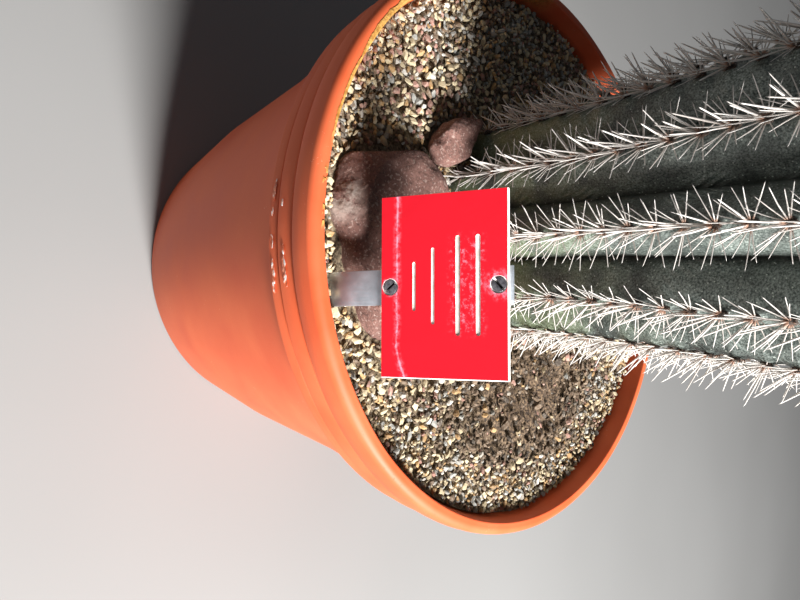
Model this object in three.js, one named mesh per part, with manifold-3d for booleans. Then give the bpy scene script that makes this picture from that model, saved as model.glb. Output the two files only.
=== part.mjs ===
// A young saguaro cactus in a round plastic pot: a ribbed stem with a row of spines along each rib, two stones on
// the gravel at its foot, and a blank plant label on a bent flat bar.
// Millimetres, +Z up. The origin is the centre of the pot's flat underside, and the label faces -Y.
import * as THREE from "three";
import { mergeVertices } from "three/addons/utils/BufferGeometryUtils.js";
import { ConvexGeometry } from "three/addons/geometries/ConvexGeometry.js";
import Module from "manifold-3d";

const wasm = await Module();
wasm.setup();

// Driving dimensions of the pot
const POT_HEIGHT = 270;
const RIM_RADIUS = 160;
const LIP_HEIGHT = 15;
const COLLAR_HEIGHT = 39;
const COLLAR_STEP_BELOW_RIM = 30;
const BASE_RADIUS = 112;
const WALL = 4;
const FLOOR = 5;
const POT_SIDES = 60;
const DRAIN_RADIUS = 6;
const DRAIN_RING_RADIUS = 62;
const DRAIN_COUNT = 4;
const DRAIN_SIDES = 12;

// Driving dimensions of the gravel that fills the pot
const GRAVEL_BELOW_RIM = 11;
const GRAVEL_SWELL = 1.5;
const GRAVEL_HEAP = { x: 112, y: -72, spread: 52, height: 6 };
const GRAVEL_RIPPLE = { height: 1.3, alongX: 7.6, alongY: 8.3 };
const GRAVEL_RINGS = 6;
const GRAVEL_SIDES = 48;

// Driving dimensions of the stem
const STEM_X = -15;
const STEM_Y = -3;
const LEAN_X = 0.036;
const LEAN_Y = 0.018;
const RIB_COUNT = 12;
const FIRST_RIB_DEG = 9.6;
const FOOT_RADIUS = 61;
const FULL_RADIUS = 79;
const FULL_AT_HEIGHT = 290;
const DOME_FROM_HEIGHT = 320;
const STEM_HEIGHT = 400;
const APEX_RADIUS = 9;
const FOOT_RIB_DEPTH = 12;
const FULL_RIB_DEPTH = 21;
const LARGEST_DEPTH_SHARE = 0.3;
const FOOT_SUNK = 9;
const SHAFT_STATIONS = 16;
const DOME_STATIONS = 6;
const POINTS_PER_RIB = 6;

// Driving dimensions of the spines
const FELT_SECTION = [
  [1.7, 0.3],
  [-1.7, 0.3],
  [-1.3, 1.5],
  [0, 2.2],
  [1.3, 1.5],
];
const AREOLE_PITCH = 0.8;
const AREOLE_HALF_HEIGHT = 0.09;
const FIRST_AREOLE = 0.7;
const LAST_AREOLE = 20.6;
const SPINE_OF_FACET = {
  1: { off: 64, around: 196, length: 16 },
  2: { off: 24, around: -100, length: 24 },
  3: { off: 38, around: 76, length: 19 },
  4: { off: 64, around: -16, length: 16 },
};
const SPINE_LEAN_SCATTER_DEG = 9;
const SPINE_TURN_SCATTER_DEG = 26;
const SPINE_SECTOR_DEG = 13.5;
const SPINE_CLEAR_OF_AXIS = 14;
const CROWN_RADIUS = 7;
const CROWN_HEIGHT = 5;
const CROWN_SPINE_LENGTH = 15;
const CROWN_SPINES = 8;

// Driving dimensions of the stones, whose tops stand above the gravel
const SLAB = { x: 0.5, y: -103.5, top: 18, half: [48.5, 36, 16], turn: 9, dip: 7, seed: 5 };
const LOBE = { x: -56.5, y: -63, top: 22, half: [20, 11, 13], turn: 125, dip: -4, seed: 11 };
const STONE_POINTS = 60;
const STONE_BLOCKINESS = 0.7;
const STONE_ROUGHNESS = 0.06;
const SPINE_CLEAR_OF_STONE = 3;

// Driving dimensions of the label and its flat bar
const PLATE = { width: 75, height: 54, thickness: 2 };
const PLATE_CENTRE = { x: 21.6, y: -125.7, aboveRim: 41.8 };
const PLATE_TILT_DEG = 22.4;
const PLATE_YAW_DEG = -3.2;
const PLATE_ROLL_DEG = 1.3;
const BAR_WIDTH = 15;
const BAR_THICKNESS = 1.5;
const BAR_ABOVE_PLATE = 1.3;
const BAR_BEND_BELOW_CENTRE = 42;
const BAR_BEND_RADIUS = 20;
const BAR_BEND_DEG = 32;
const BAR_BEND_STEPS = 6;
const BAR_FOOT_LENGTH = 46;
const BAR_POINT_LENGTH = 9;
const BAR_POINT_SHARE = 0.16;
const SCREW_FROM_EDGE = 3.9;
const SCREW_HEAD_RADIUS = 3.1;
const SCREW_HEAD_DEPTH = 1.4;
const SCREW_SHANK_RADIUS = 1.5;
const SCREW_PAST_NUT = 2;
const SCREW_SLOT_WIDTH = 1.1;
const SCREW_SLOT_DEPTH = 0.7;
const SCREW_SLOT_TURN_DEG = { lower: 130, upper: 41 };
const SCREW_SIDES = 20;
const COUNTERSINK_RADIUS = 3.6;
const NUT_ACROSS_FLATS = 5.5;
const NUT_HEIGHT = 2.4;

// Touching pieces keep these gaps
const GAP = 0.3;
const SOCKET_GAP = 0.5;

const RIM_Z = POT_HEIGHT;
const GRAVEL_Z = RIM_Z - GRAVEL_BELOW_RIM;
const UP = new THREE.Vector3(0, 0, 1);
const rad = THREE.MathUtils.degToRad;

/** A seeded source of numbers from 0 to 1. */
function seededRandom(seed) {
  let state = seed;
  return () => {
    state = (state + 0x6d2b79f5) | 0;
    let t = Math.imul(state ^ (state >>> 15), 1 | state);
    t = (t + Math.imul(t ^ (t >>> 7), 61 | t)) ^ t;
    return ((t ^ (t >>> 14)) >>> 0) / 4294967296;
  };
}

/** A closed geometry as a manifold solid, with its shared vertices merged. */
function solidOf(geometry) {
  const bare = geometry.clone();
  bare.deleteAttribute("normal");
  bare.deleteAttribute("uv");
  const merged = mergeVertices(bare, 1e-3);
  return new wasm.Manifold(
    new wasm.Mesh({
      numProp: 3,
      vertProperties: merged.attributes.position.array,
      triVerts: new Uint32Array(merged.index.array),
    }),
  );
}

/** A manifold solid as a geometry with normals. */
function geometryOf(solid) {
  const mesh = solid.getMesh();
  const geometry = new THREE.BufferGeometry();
  geometry.setAttribute("position", new THREE.BufferAttribute(mesh.vertProperties, 3));
  geometry.setIndex(new THREE.BufferAttribute(mesh.triVerts, 1));
  geometry.computeVertexNormals();
  return geometry;
}

/**
 * A closed skin over rings of points, counted anticlockwise seen from the last ring, with a fan over each end.
 * A facet between two rings is drawn out to a point where tipAt(ring, side) gives one.
 */
function loft(rings, tipAt = () => null) {
  const count = rings[0].length;
  const centre = (ring) =>
    ring.reduce((sum, p) => sum.add(p), new THREE.Vector3()).divideScalar(count);
  const points = [...rings.flat(), centre(rings[0]), centre(rings.at(-1))];
  const firstCentre = points.length - 2;
  const lastCentre = points.length - 1;
  const top = (rings.length - 1) * count;
  const index = [];
  for (let j = 0; j < count; j++) {
    const next = (j + 1) % count;
    for (let i = 0; i < top; i += count) {
      const facet = [i + j, i + next, i + count + next, i + count + j];
      const tip = tipAt(i / count, j);
      if (tip) {
        facet.forEach((corner, k) => index.push(corner, facet[(k + 1) % 4], points.length));
        points.push(tip);
      } else {
        index.push(facet[0], facet[1], facet[2], facet[0], facet[2], facet[3]);
      }
    }
    index.push(firstCentre, next, j);
    index.push(lastCentre, top + j, top + next);
  }
  const geometry = new THREE.BufferGeometry().setFromPoints(points);
  geometry.setIndex(index);
  return geometry;
}

/** A lathe about +Z from [radius, height] pairs. */
function turned(profile, sides) {
  const points = profile.map(([radius, height]) => new THREE.Vector2(radius, height));
  return new THREE.LatheGeometry(points, sides).rotateX(Math.PI / 2);
}

/** A cylinder along +Z that starts at height z. */
function rod(radius, length, sides, z = 0) {
  return new THREE.CylinderGeometry(radius, radius, length, sides)
    .rotateX(Math.PI / 2)
    .translate(0, 0, z + length / 2);
}

/** A plastic or metal finish. */
function finish(color, roughness, metalness = 0) {
  return new THREE.MeshStandardMaterial({ color, roughness, metalness });
}

const FINISHES = {
  terracottaPlastic: finish("#d4663c", 0.42),
  gravel: finish("#8c7a63", 0.95),
  cactusSkin: finish("#5b6f5d", 0.6),
  spine: finish("#e9e4dc", 0.7),
  stone: finish("#93695d", 0.9),
  redLaminate: finish("#f32f45", 0.4),
  aluminium: finish("#bfc2c6", 0.35, 1),
  zincScrew: finish("#8f8d92", 0.4, 1),
};

/** The pot wall's inner radius at a height. */
function innerRadius(z) {
  const neckZ = RIM_Z - COLLAR_HEIGHT;
  const neckRadius = RIM_RADIUS - 14;
  const lipRadius = RIM_RADIUS - 7.5;
  if (z > neckZ) {
    return THREE.MathUtils.mapLinear(z, neckZ, RIM_Z, neckRadius, lipRadius);
  }
  return THREE.MathUtils.mapLinear(z, FLOOR, neckZ, BASE_RADIUS - WALL, neckRadius);
}

/** The pot: a tapered body under a stepped collar and a rolled lip, with drain holes through its floor. */
function pot() {
  const lipFoot = RIM_Z - LIP_HEIGHT;
  const step = RIM_Z - COLLAR_STEP_BELOW_RIM;
  const collarFoot = RIM_Z - COLLAR_HEIGHT;
  const profile = [
    [0, 0],
    [BASE_RADIUS - 4, 0],
    [BASE_RADIUS, 5],
    [RIM_RADIUS - 10, collarFoot - 1],
    [RIM_RADIUS - 4.2, collarFoot],
    [RIM_RADIUS - 3.2, step - 1],
    [RIM_RADIUS - 4.4, step],
    [RIM_RADIUS - 2.4, step + 1.2],
    [RIM_RADIUS - 1.8, lipFoot - 2.4],
    [RIM_RADIUS - 3.4, lipFoot - 1.4],
    [RIM_RADIUS - 1, lipFoot],
    [RIM_RADIUS, RIM_Z - 9],
    [RIM_RADIUS - 0.8, RIM_Z - 3.6],
    [RIM_RADIUS - 3.2, RIM_Z],
    [RIM_RADIUS - 6.6, RIM_Z],
    [innerRadius(RIM_Z - 1.6), RIM_Z - 1.6],
    [innerRadius(collarFoot), collarFoot],
    [innerRadius(FLOOR), FLOOR],
    [0, FLOOR],
  ];
  let body = solidOf(turned(profile, POT_SIDES));
  for (let i = 0; i < DRAIN_COUNT; i++) {
    const angle = (2 * Math.PI * (i + 0.5)) / DRAIN_COUNT;
    const hole = rod(DRAIN_RADIUS, FLOOR + 2, DRAIN_SIDES, -1).translate(
      DRAIN_RING_RADIUS * Math.cos(angle),
      DRAIN_RING_RADIUS * Math.sin(angle),
      0,
    );
    body = body.subtract(solidOf(hole));
  }
  return geometryOf(body);
}

/** The crest's radius and height above the gravel at a station, counted from the foot, as [radius, height]. */
function crestProfile(station) {
  if (station <= SHAFT_STATIONS) {
    const height = (DOME_FROM_HEIGHT * station) / SHAFT_STATIONS;
    const swell = THREE.MathUtils.smoothstep(height, 0, FULL_AT_HEIGHT);
    return [FOOT_RADIUS + (FULL_RADIUS - FOOT_RADIUS) * swell, height];
  }
  const lastAngle = Math.acos(APEX_RADIUS / FULL_RADIUS);
  const angle = (lastAngle * (station - SHAFT_STATIONS)) / DOME_STATIONS;
  const rise = (STEM_HEIGHT - DOME_FROM_HEIGHT) * Math.sin(angle);
  return [FULL_RADIUS * Math.cos(angle), DOME_FROM_HEIGHT + rise];
}

/** The stem's axis at a height above the gravel. */
function stemAxis(height) {
  return new THREE.Vector3(STEM_X + LEAN_X * height, STEM_Y + LEAN_Y * height, GRAVEL_Z + height);
}

/** A rib's angle about the stem, anticlockwise from +X. */
function ribAngle(rib) {
  return rad(FIRST_RIB_DEG - 90) + (2 * Math.PI * rib) / RIB_COUNT;
}

/** One ring round the stem: rounded crests and V-shaped valleys. */
function stemRing(radius, height, clearance = 0) {
  const grown = THREE.MathUtils.smoothstep(height, 0, FULL_AT_HEIGHT);
  const fullDepth = THREE.MathUtils.lerp(FOOT_RIB_DEPTH, FULL_RIB_DEPTH, grown);
  const depth = Math.min(fullDepth, LARGEST_DEPTH_SHARE * radius);
  const centre = stemAxis(height);
  const ring = [];
  for (let i = 0; i < RIB_COUNT * POINTS_PER_RIB; i++) {
    const share = (2 * i) / POINTS_PER_RIB;
    const fromCrest = ((share + 1) % 2) - 1;
    const angle = ribAngle(0) + (2 * Math.PI * i) / (RIB_COUNT * POINTS_PER_RIB);
    const r = radius - depth * (1 - Math.cos((fromCrest * Math.PI) / 2)) + clearance;
    ring.push(new THREE.Vector3(r * Math.cos(angle), r * Math.sin(angle), 0).add(centre));
  }
  return ring;
}

/** The ribbed stem, from a flat cut just under the gravel to its domed tip. */
function stem() {
  const rings = [stemRing(FOOT_RADIUS, -FOOT_SUNK)];
  for (let station = 0; station <= SHAFT_STATIONS + DOME_STATIONS; station++) {
    rings.push(stemRing(...crestProfile(station)));
  }
  return loft(rings);
}

/** A frame on a rib's crest: its place, and the ways out of the stem, up the rib and sideways. */
function crestFrame(rib, station) {
  const [radius, height] = crestProfile(station);
  const [radiusBelow, heightBelow] = crestProfile(station - 0.5);
  const [radiusAbove, heightAbove] = crestProfile(station + 0.5);
  const outward = new THREE.Vector3(Math.cos(ribAngle(rib)), Math.sin(ribAngle(rib)), 0);
  const place = stemAxis(height).addScaledVector(outward, radius);
  const along = outward.clone().multiplyScalar(radiusAbove - radiusBelow);
  along.addScaledVector(UP, heightAbove - heightBelow).normalize();
  const side = new THREE.Vector3().crossVectors(UP, outward);
  const out = new THREE.Vector3().crossVectors(side, along);
  return { place, out, along, side };
}

/** Whether a spine stays clear of both stones and of the gravel. */
function clearOfGround(root, tip) {
  const samples = [0.4, 0.7, 1].map((share) => root.clone().lerp(tip, share));
  return samples.every(
    (point) =>
      point.z > GRAVEL_Z + SPINE_CLEAR_OF_STONE &&
      ![SLAB, LOBE].some((sizes) => inStone(sizes, point, SPINE_CLEAR_OF_STONE)),
  );
}

/** Whether a point keeps to a rib's own sector of the stem, clear of the growing tip. */
function inSector(rib, point) {
  const centre = stemAxis(point.z - GRAVEL_Z);
  const angle = Math.atan2(point.y - centre.y, point.x - centre.x) - ribAngle(rib);
  const wrapped = Math.atan2(Math.sin(angle), Math.cos(angle));
  const fromAxis = Math.hypot(point.x - centre.x, point.y - centre.y);
  return Math.abs(wrapped) < rad(SPINE_SECTOR_DEG) && fromAxis > SPINE_CLEAR_OF_AXIS;
}

/** One rib's spines: the line of felt up its crest, with each facet at an areole drawn out to a spine. */
function spineRow(rib) {
  const random = seededRandom(100 + rib);
  const scatter = (span) => rad(span * (random() - 0.5));
  const rings = [];
  const tips = new Map();
  for (let station = FIRST_AREOLE; station < LAST_AREOLE; station += AREOLE_PITCH) {
    const { out, along, side, place } = crestFrame(rib, station);
    for (const [facet, { off, around, length }] of Object.entries(SPINE_OF_FACET)) {
      const lean = rad(off) + scatter(SPINE_LEAN_SCATTER_DEG);
      const turn = rad(around) + scatter(SPINE_TURN_SCATTER_DEG);
      const tip = place.clone().addScaledVector(out, 1.5 + length * Math.cos(lean));
      tip.addScaledVector(side, length * Math.sin(lean) * Math.cos(turn));
      tip.addScaledVector(along, length * Math.sin(lean) * Math.sin(turn));
      if (inSector(rib, tip) && clearOfGround(place, tip)) {
        tips.set(rings.length + ":" + facet, tip);
      }
    }
    for (const end of [station - AREOLE_HALF_HEIGHT, station + AREOLE_HALF_HEIGHT]) {
      const frame = crestFrame(rib, end);
      rings.push(
        FELT_SECTION.map(([across, height]) =>
          frame.place.clone().addScaledVector(frame.side, across).addScaledVector(frame.out, height),
        ),
      );
    }
  }
  return loft(rings, (ring, side) => tips.get(ring + ":" + side));
}

/** A level ring of points about the Z axis. */
function levelRing(radius, z, count, turn = 0) {
  const points = [];
  for (let i = 0; i < count; i++) {
    const angle = (2 * Math.PI * (i + turn)) / count;
    points.push(new THREE.Vector3(radius * Math.cos(angle), radius * Math.sin(angle), z));
  }
  return points;
}

/** The woolly growing tip, drawn out to spines round its shoulder and its top, seated on the stem's apex. */
function crown() {
  const rings = [
    levelRing(CROWN_RADIUS, 0, CROWN_SPINES, 0.5),
    levelRing(CROWN_RADIUS, CROWN_HEIGHT * 0.4, CROWN_SPINES, 0.5),
    levelRing(CROWN_RADIUS * 0.7, CROWN_HEIGHT * 0.8, CROWN_SPINES, 0.5),
    levelRing(CROWN_RADIUS * 0.3, CROWN_HEIGHT, CROWN_SPINES, 0.5),
  ];
  const shoulder = levelRing(CROWN_RADIUS * 1.7, CROWN_HEIGHT + CROWN_SPINE_LENGTH * 0.55, CROWN_SPINES, 1);
  const top = levelRing(CROWN_RADIUS * 0.6, CROWN_HEIGHT + CROWN_SPINE_LENGTH * 0.9, CROWN_SPINES, 1);
  return loft(rings, (ring, side) => [null, shoulder[side], top[side]][ring]);
}

/** A blocky stone as the hull of seeded points, grown by a clearance. */
function stone({ half, seed }, clearance = 0) {
  const random = seededRandom(seed);
  const golden = Math.PI * (3 - Math.sqrt(5));
  const blocky = (v) => Math.sign(v) * Math.abs(v) ** STONE_BLOCKINESS;
  const points = [];
  for (let i = 0; i < STONE_POINTS; i++) {
    const z = 1 - (2 * (i + 0.5)) / STONE_POINTS;
    const flat = Math.sqrt(1 - z * z);
    const rough = 1 - STONE_ROUGHNESS * random();
    const point = new THREE.Vector3(flat * Math.cos(golden * i), flat * Math.sin(golden * i), z);
    points.push(
      new THREE.Vector3(
        blocky(point.x) * half[0] * rough + clearance * point.x,
        blocky(point.y) * half[1] * rough + clearance * point.y,
        blocky(point.z) * half[2] * rough + clearance * point.z,
      ),
    );
  }
  return new ConvexGeometry(points);
}

/** A stone's place in the gravel: turned about +Z, with its near side dipped. */
function stonePlace({ x, y, top, half, turn, dip }) {
  return new THREE.Matrix4()
    .makeTranslation(x, y, GRAVEL_Z + top - half[2])
    .multiply(new THREE.Matrix4().makeRotationX(rad(dip)))
    .multiply(new THREE.Matrix4().makeRotationZ(rad(turn)));
}

/** A stone set into the gravel. */
function placedStone(sizes, clearance = 0) {
  return stone(sizes, clearance).applyMatrix4(stonePlace(sizes));
}

/** Whether a point lies in a stone, or nearer to it than a clearance. */
function inStone(sizes, point, clearance) {
  const local = point.clone().applyMatrix4(stonePlace(sizes).invert());
  const power = 2 / STONE_BLOCKINESS;
  const share = (v, half) => Math.abs(v / (half + clearance)) ** power;
  const { half } = sizes;
  return share(local.x, half[0]) + share(local.y, half[1]) + share(local.z, half[2]) < 1;
}

/** The flat bar's side outline: straight behind the plate, then bent to run down beside the pot's wall. */
function barOutline(clearance) {
  const bend = rad(BAR_BEND_DEG);
  const line = [new THREE.Vector2(0, PLATE.height / 2 + BAR_ABOVE_PLATE)];
  const centre = new THREE.Vector2(BAR_BEND_RADIUS, -BAR_BEND_BELOW_CENTRE);
  for (let i = 0; i <= BAR_BEND_STEPS; i++) {
    const angle = Math.PI + (bend * i) / BAR_BEND_STEPS;
    const spoke = new THREE.Vector2(Math.cos(angle), Math.sin(angle));
    line.push(centre.clone().addScaledVector(spoke, BAR_BEND_RADIUS));
  }
  const down = new THREE.Vector2(Math.sin(bend), -Math.cos(bend));
  line.push(line.at(-1).clone().addScaledVector(down, BAR_FOOT_LENGTH - BAR_POINT_LENGTH));
  line.push(line.at(-1).clone().addScaledVector(down, BAR_POINT_LENGTH + clearance));
  return line;
}

/** The flat bar in the plate's own frame, grown by a clearance and cut to a point at its foot. */
function labelBar(clearance = 0) {
  const behind = PLATE.thickness / 2 + GAP + BAR_THICKNESS / 2;
  const halfThick = BAR_THICKNESS / 2 + clearance;
  const line = barOutline(clearance);
  const last = line.length - 1;
  const rings = line.map((point, i) => {
    const before = line[Math.max(i - 1, 0)];
    const after = line[Math.min(i + 1, last)];
    const along = after.clone().sub(before).normalize();
    const halfWide = (i === last ? BAR_POINT_SHARE : 1) * (BAR_WIDTH / 2) + clearance;
    const corner = (across, out) =>
      new THREE.Vector3(across, behind + point.x - along.y * out, point.y + along.x * out);
    return [
      corner(-halfWide, -halfThick),
      corner(-halfWide, halfThick),
      corner(halfWide, halfThick),
      corner(halfWide, -halfThick),
    ];
  });
  return loft(rings);
}

/** The heights of the two screws on the plate, from its centre. */
const SCREW_HEIGHTS = {
  lower: -PLATE.height / 2 + SCREW_FROM_EDGE,
  upper: PLATE.height / 2 - SCREW_FROM_EDGE,
};

/** Turns a piece made along +Z to face forwards from the plate's front, at a screw's height. */
function toScrew(geometry, place) {
  return geometry.rotateX(Math.PI / 2).translate(0, -PLATE.thickness / 2, SCREW_HEIGHTS[place]);
}

/** A piece with a cutter taken out at both screws. */
function cutAtScrews(geometry, cutter) {
  let piece = solidOf(geometry);
  for (const place of Object.keys(SCREW_HEIGHTS)) {
    piece = piece.subtract(solidOf(toScrew(cutter.clone(), place)));
  }
  return geometryOf(piece);
}

/** The plain hole for a screw's shank, long enough for any piece that it passes through. */
function shankHole() {
  const reach = 2 * BAR_WIDTH;
  return rod(SCREW_SHANK_RADIUS + GAP, reach, SCREW_SIDES, -reach / 2);
}

/** The plate, countersunk for its two screws. */
function labelPlate() {
  const sheet = new THREE.BoxGeometry(PLATE.width, PLATE.thickness, PLATE.height);
  const countersink = turned(
    [
      [0, -PLATE.thickness - 1],
      [SCREW_SHANK_RADIUS + GAP, -PLATE.thickness - 1],
      [SCREW_SHANK_RADIUS + GAP, -SCREW_HEAD_DEPTH - GAP],
      [COUNTERSINK_RADIUS, 0],
      [COUNTERSINK_RADIUS, 1],
      [0, 1],
    ],
    SCREW_SIDES,
  );
  return cutAtScrews(sheet, countersink);
}

/** A slotted countersunk screw, flush with the plate, whose shank runs through plate, bar and nut. */
function screw(place) {
  const tipZ = -(PLATE.thickness + BAR_THICKNESS + NUT_HEIGHT + 2 * GAP + SCREW_PAST_NUT);
  const body = turned(
    [
      [0, tipZ],
      [SCREW_SHANK_RADIUS, tipZ],
      [SCREW_SHANK_RADIUS, -SCREW_HEAD_DEPTH],
      [SCREW_HEAD_RADIUS, 0],
      [0, 0],
    ],
    SCREW_SIDES,
  );
  const slotBox = new THREE.BoxGeometry(3 * SCREW_HEAD_RADIUS, SCREW_SLOT_WIDTH, 2 * SCREW_SLOT_DEPTH);
  const slot = slotBox.rotateZ(rad(SCREW_SLOT_TURN_DEG[place]));
  return toScrew(geometryOf(solidOf(body).subtract(solidOf(slot))), place);
}

/** A hexagon nut behind the bar. */
function nut(place) {
  const body = rod(NUT_ACROSS_FLATS / Math.sqrt(3), NUT_HEIGHT, 6);
  const hexagon = geometryOf(solidOf(body).subtract(solidOf(shankHole())));
  const behind = PLATE.thickness + BAR_THICKNESS + NUT_HEIGHT + 2 * GAP;
  return toScrew(hexagon.translate(0, 0, -behind), place);
}

/** Nested groups that turn and place the label: yaw, then tilt, then roll. */
function labelFrame() {
  const yaw = new THREE.Group();
  const tilt = new THREE.Group();
  const roll = new THREE.Group();
  yaw.position.set(PLATE_CENTRE.x, PLATE_CENTRE.y, RIM_Z + PLATE_CENTRE.aboveRim);
  yaw.rotation.z = rad(PLATE_YAW_DEG);
  tilt.rotation.x = -rad(PLATE_TILT_DEG);
  roll.rotation.y = -rad(PLATE_ROLL_DEG);
  yaw.add(tilt);
  tilt.add(roll);
  yaw.updateMatrixWorld(true);
  return { root: yaw, holder: roll };
}

/** How far the gravel's top stands above its level at a place: a heap at the near right, long waves and lumps. */
function gravelSwell(x, y) {
  const { x: heapX, y: heapY, spread, height } = GRAVEL_HEAP;
  const heap = height * Math.exp(-((x - heapX) ** 2 + (y - heapY) ** 2) / spread ** 2);
  const { alongX, alongY } = GRAVEL_RIPPLE;
  const lumps = GRAVEL_RIPPLE.height * Math.sin(x / alongX + 0.5) * Math.sin(y / alongY + 2);
  return heap - GRAVEL_SWELL * Math.sin(x / 31 + 1) * Math.cos(y / 37) + lumps;
}

/** The gravel that fills the pot, hollowed for all that stands in it. */
function gravel(sockets) {
  const floorZ = FLOOR + GAP;
  const neckZ = RIM_Z - COLLAR_HEIGHT;
  // The sides of the pot's wall are flat, so the fill stays inside the middle of each of them.
  const inside = (z) => (innerRadius(z) - GAP) * Math.cos(Math.PI / POT_SIDES);
  const rings = [floorZ, neckZ].map((z) => levelRing(inside(z), z, GRAVEL_SIDES));
  const topRadius = inside(GRAVEL_Z - GRAVEL_SWELL - GRAVEL_RIPPLE.height);
  for (let i = GRAVEL_RINGS; i > 0; i--) {
    const ring = levelRing((topRadius * i) / GRAVEL_RINGS, GRAVEL_Z, GRAVEL_SIDES);
    rings.push(ring.map(({ x, y, z }) => new THREE.Vector3(x, y, z + gravelSwell(x, y))));
  }
  const fill = solidOf(loft(rings));
  return geometryOf(sockets.reduce((left, socket) => left.subtract(solidOf(socket)), fill));
}

/** Adds a named mesh to a group. */
function addPiece(group, name, geometry, material) {
  const mesh = new THREE.Mesh(geometry, material);
  mesh.name = name;
  group.add(mesh);
  return mesh;
}

const cactus = new THREE.Group();
const label = labelFrame();
cactus.add(label.root);

const footSocket = loft([
  stemRing(FOOT_RADIUS, -FOOT_SUNK - GAP, SOCKET_GAP),
  stemRing(FOOT_RADIUS, 0, SOCKET_GAP),
  stemRing(FOOT_RADIUS, 4 * GRAVEL_SWELL, SOCKET_GAP),
]);
const sockets = [
  placedStone(SLAB, SOCKET_GAP),
  placedStone(LOBE, SOCKET_GAP),
  labelBar(SOCKET_GAP).applyMatrix4(label.holder.matrixWorld),
  footSocket,
];

addPiece(cactus, "pot", pot(), FINISHES.terracottaPlastic);
addPiece(cactus, "gravel", gravel(sockets), FINISHES.gravel);
addPiece(cactus, "stem", stem(), FINISHES.cactusSkin);
addPiece(cactus, "stone_slab", placedStone(SLAB), FINISHES.stone);
addPiece(cactus, "stone_lobe", placedStone(LOBE), FINISHES.stone);

for (let rib = 0; rib < RIB_COUNT; rib++) {
  const name = "spines_rib_" + String(rib + 1).padStart(2, "0");
  addPiece(cactus, name, spineRow(rib), FINISHES.spine);
}
const apexHeight = crestProfile(SHAFT_STATIONS + DOME_STATIONS)[1];
const tip = addPiece(cactus, "crown_wool", crown(), FINISHES.spine);
tip.position.copy(stemAxis(apexHeight)).addScaledVector(UP, GAP);

addPiece(label.holder, "label_plate", labelPlate(), FINISHES.redLaminate);
addPiece(label.holder, "label_bar", cutAtScrews(labelBar(), shankHole()), FINISHES.aluminium);
for (const place of Object.keys(SCREW_HEIGHTS)) {
  addPiece(label.holder, "label_screw_" + place, screw(place), FINISHES.zincScrew);
  addPiece(label.holder, "label_nut_" + place, nut(place), FINISHES.zincScrew);
}

export default cactus;
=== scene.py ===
"""A young saguaro cactus in a round plastic pot of grit, with two stones and a blank plant label.

Sizes are millimetres, turned to metres as each mesh is made. +Z is up, and the label faces -Y.
"""

import logging
import math
from collections.abc import Callable, Iterator
from contextlib import contextmanager
from dataclasses import dataclass
from enum import Enum
from functools import partial

import bpy
import numpy as np
from mathutils import Matrix, Vector, noise


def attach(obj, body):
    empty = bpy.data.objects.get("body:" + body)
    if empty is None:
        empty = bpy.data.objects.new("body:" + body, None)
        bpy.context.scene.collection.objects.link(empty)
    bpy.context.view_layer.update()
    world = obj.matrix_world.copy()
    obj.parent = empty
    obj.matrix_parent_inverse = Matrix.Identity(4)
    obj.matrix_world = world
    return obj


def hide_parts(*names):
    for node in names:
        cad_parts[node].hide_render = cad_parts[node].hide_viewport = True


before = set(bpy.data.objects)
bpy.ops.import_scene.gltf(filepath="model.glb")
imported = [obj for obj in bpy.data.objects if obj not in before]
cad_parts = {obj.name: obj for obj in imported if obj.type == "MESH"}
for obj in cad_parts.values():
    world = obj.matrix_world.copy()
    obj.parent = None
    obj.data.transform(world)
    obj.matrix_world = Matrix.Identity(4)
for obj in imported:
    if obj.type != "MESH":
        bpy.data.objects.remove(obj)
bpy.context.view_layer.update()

MM = 0.001
GRAVEL_TOP = 259.0
RIM_TOP = 270.0
UP = np.array([0.0, 0.0, 1.0])
log = logging.getLogger("cactus")

Piece = bpy.types.Object
Tree = bpy.types.NodeTree
Socket = bpy.types.NodeSocket
Array = np.ndarray
Random = np.random.Generator
Pair = tuple[float, float]
Triple = tuple[float, float, float]
Quad = tuple[float, float, float, float]
Stops = tuple[tuple[float, str], ...]
Add = Callable[..., Socket]
Feeds = dict[str, object]


# Modelling steps


def deselect_all() -> None:
    """Leaves nothing selected, so that the next operator acts on the new piece alone."""
    bpy.ops.object.select_all(action="DESELECT")


def activate(piece: Piece) -> None:
    """Selects one piece alone and makes it the active one.

    Args:
        piece: The piece.
    """
    deselect_all()
    piece.select_set(True)
    bpy.context.view_layer.objects.active = piece


@contextmanager
def edit_mode(piece: Piece, by_edges: bool = False) -> Iterator[None]:
    """Opens one piece in edit mode, and goes back to object mode afterwards.

    Args:
        piece: The piece to edit.
        by_edges: Whether edges are selected, and not points.
    """
    activate(piece)
    bpy.context.scene.tool_settings.mesh_select_mode = (not by_edges, by_edges, False)
    bpy.ops.object.mode_set(mode="EDIT")
    try:
        yield
    finally:
        bpy.ops.object.mode_set(mode="OBJECT")


def select_faces(piece: Piece, test: Callable[[Vector, Vector], bool]) -> None:
    """Selects the faces that pass a test, in object mode.

    Args:
        piece: The piece whose faces are tested.
        test: Takes a face's centre and its normal.
    """
    mesh = piece.data
    for part in [*mesh.vertices, *mesh.edges]:
        part.select = False
    for face in mesh.polygons:
        face.select = test(face.center, face.normal)
        if face.select:
            for corner in face.vertices:
                mesh.vertices[corner].select = True


def select_edges(piece: Piece, test: Callable[[Vector, Vector], bool]) -> None:
    """Selects the edges that pass a test, in object mode.

    Args:
        piece: The piece whose edges are tested.
        test: Takes an edge's middle and its direction.
    """
    mesh = piece.data
    for part in [*mesh.vertices, *mesh.polygons]:
        part.select = False
    for edge in mesh.edges:
        first, last = (mesh.vertices[corner].co for corner in edge.vertices)
        edge.select = test((first + last) / 2, (last - first).normalized())


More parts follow.
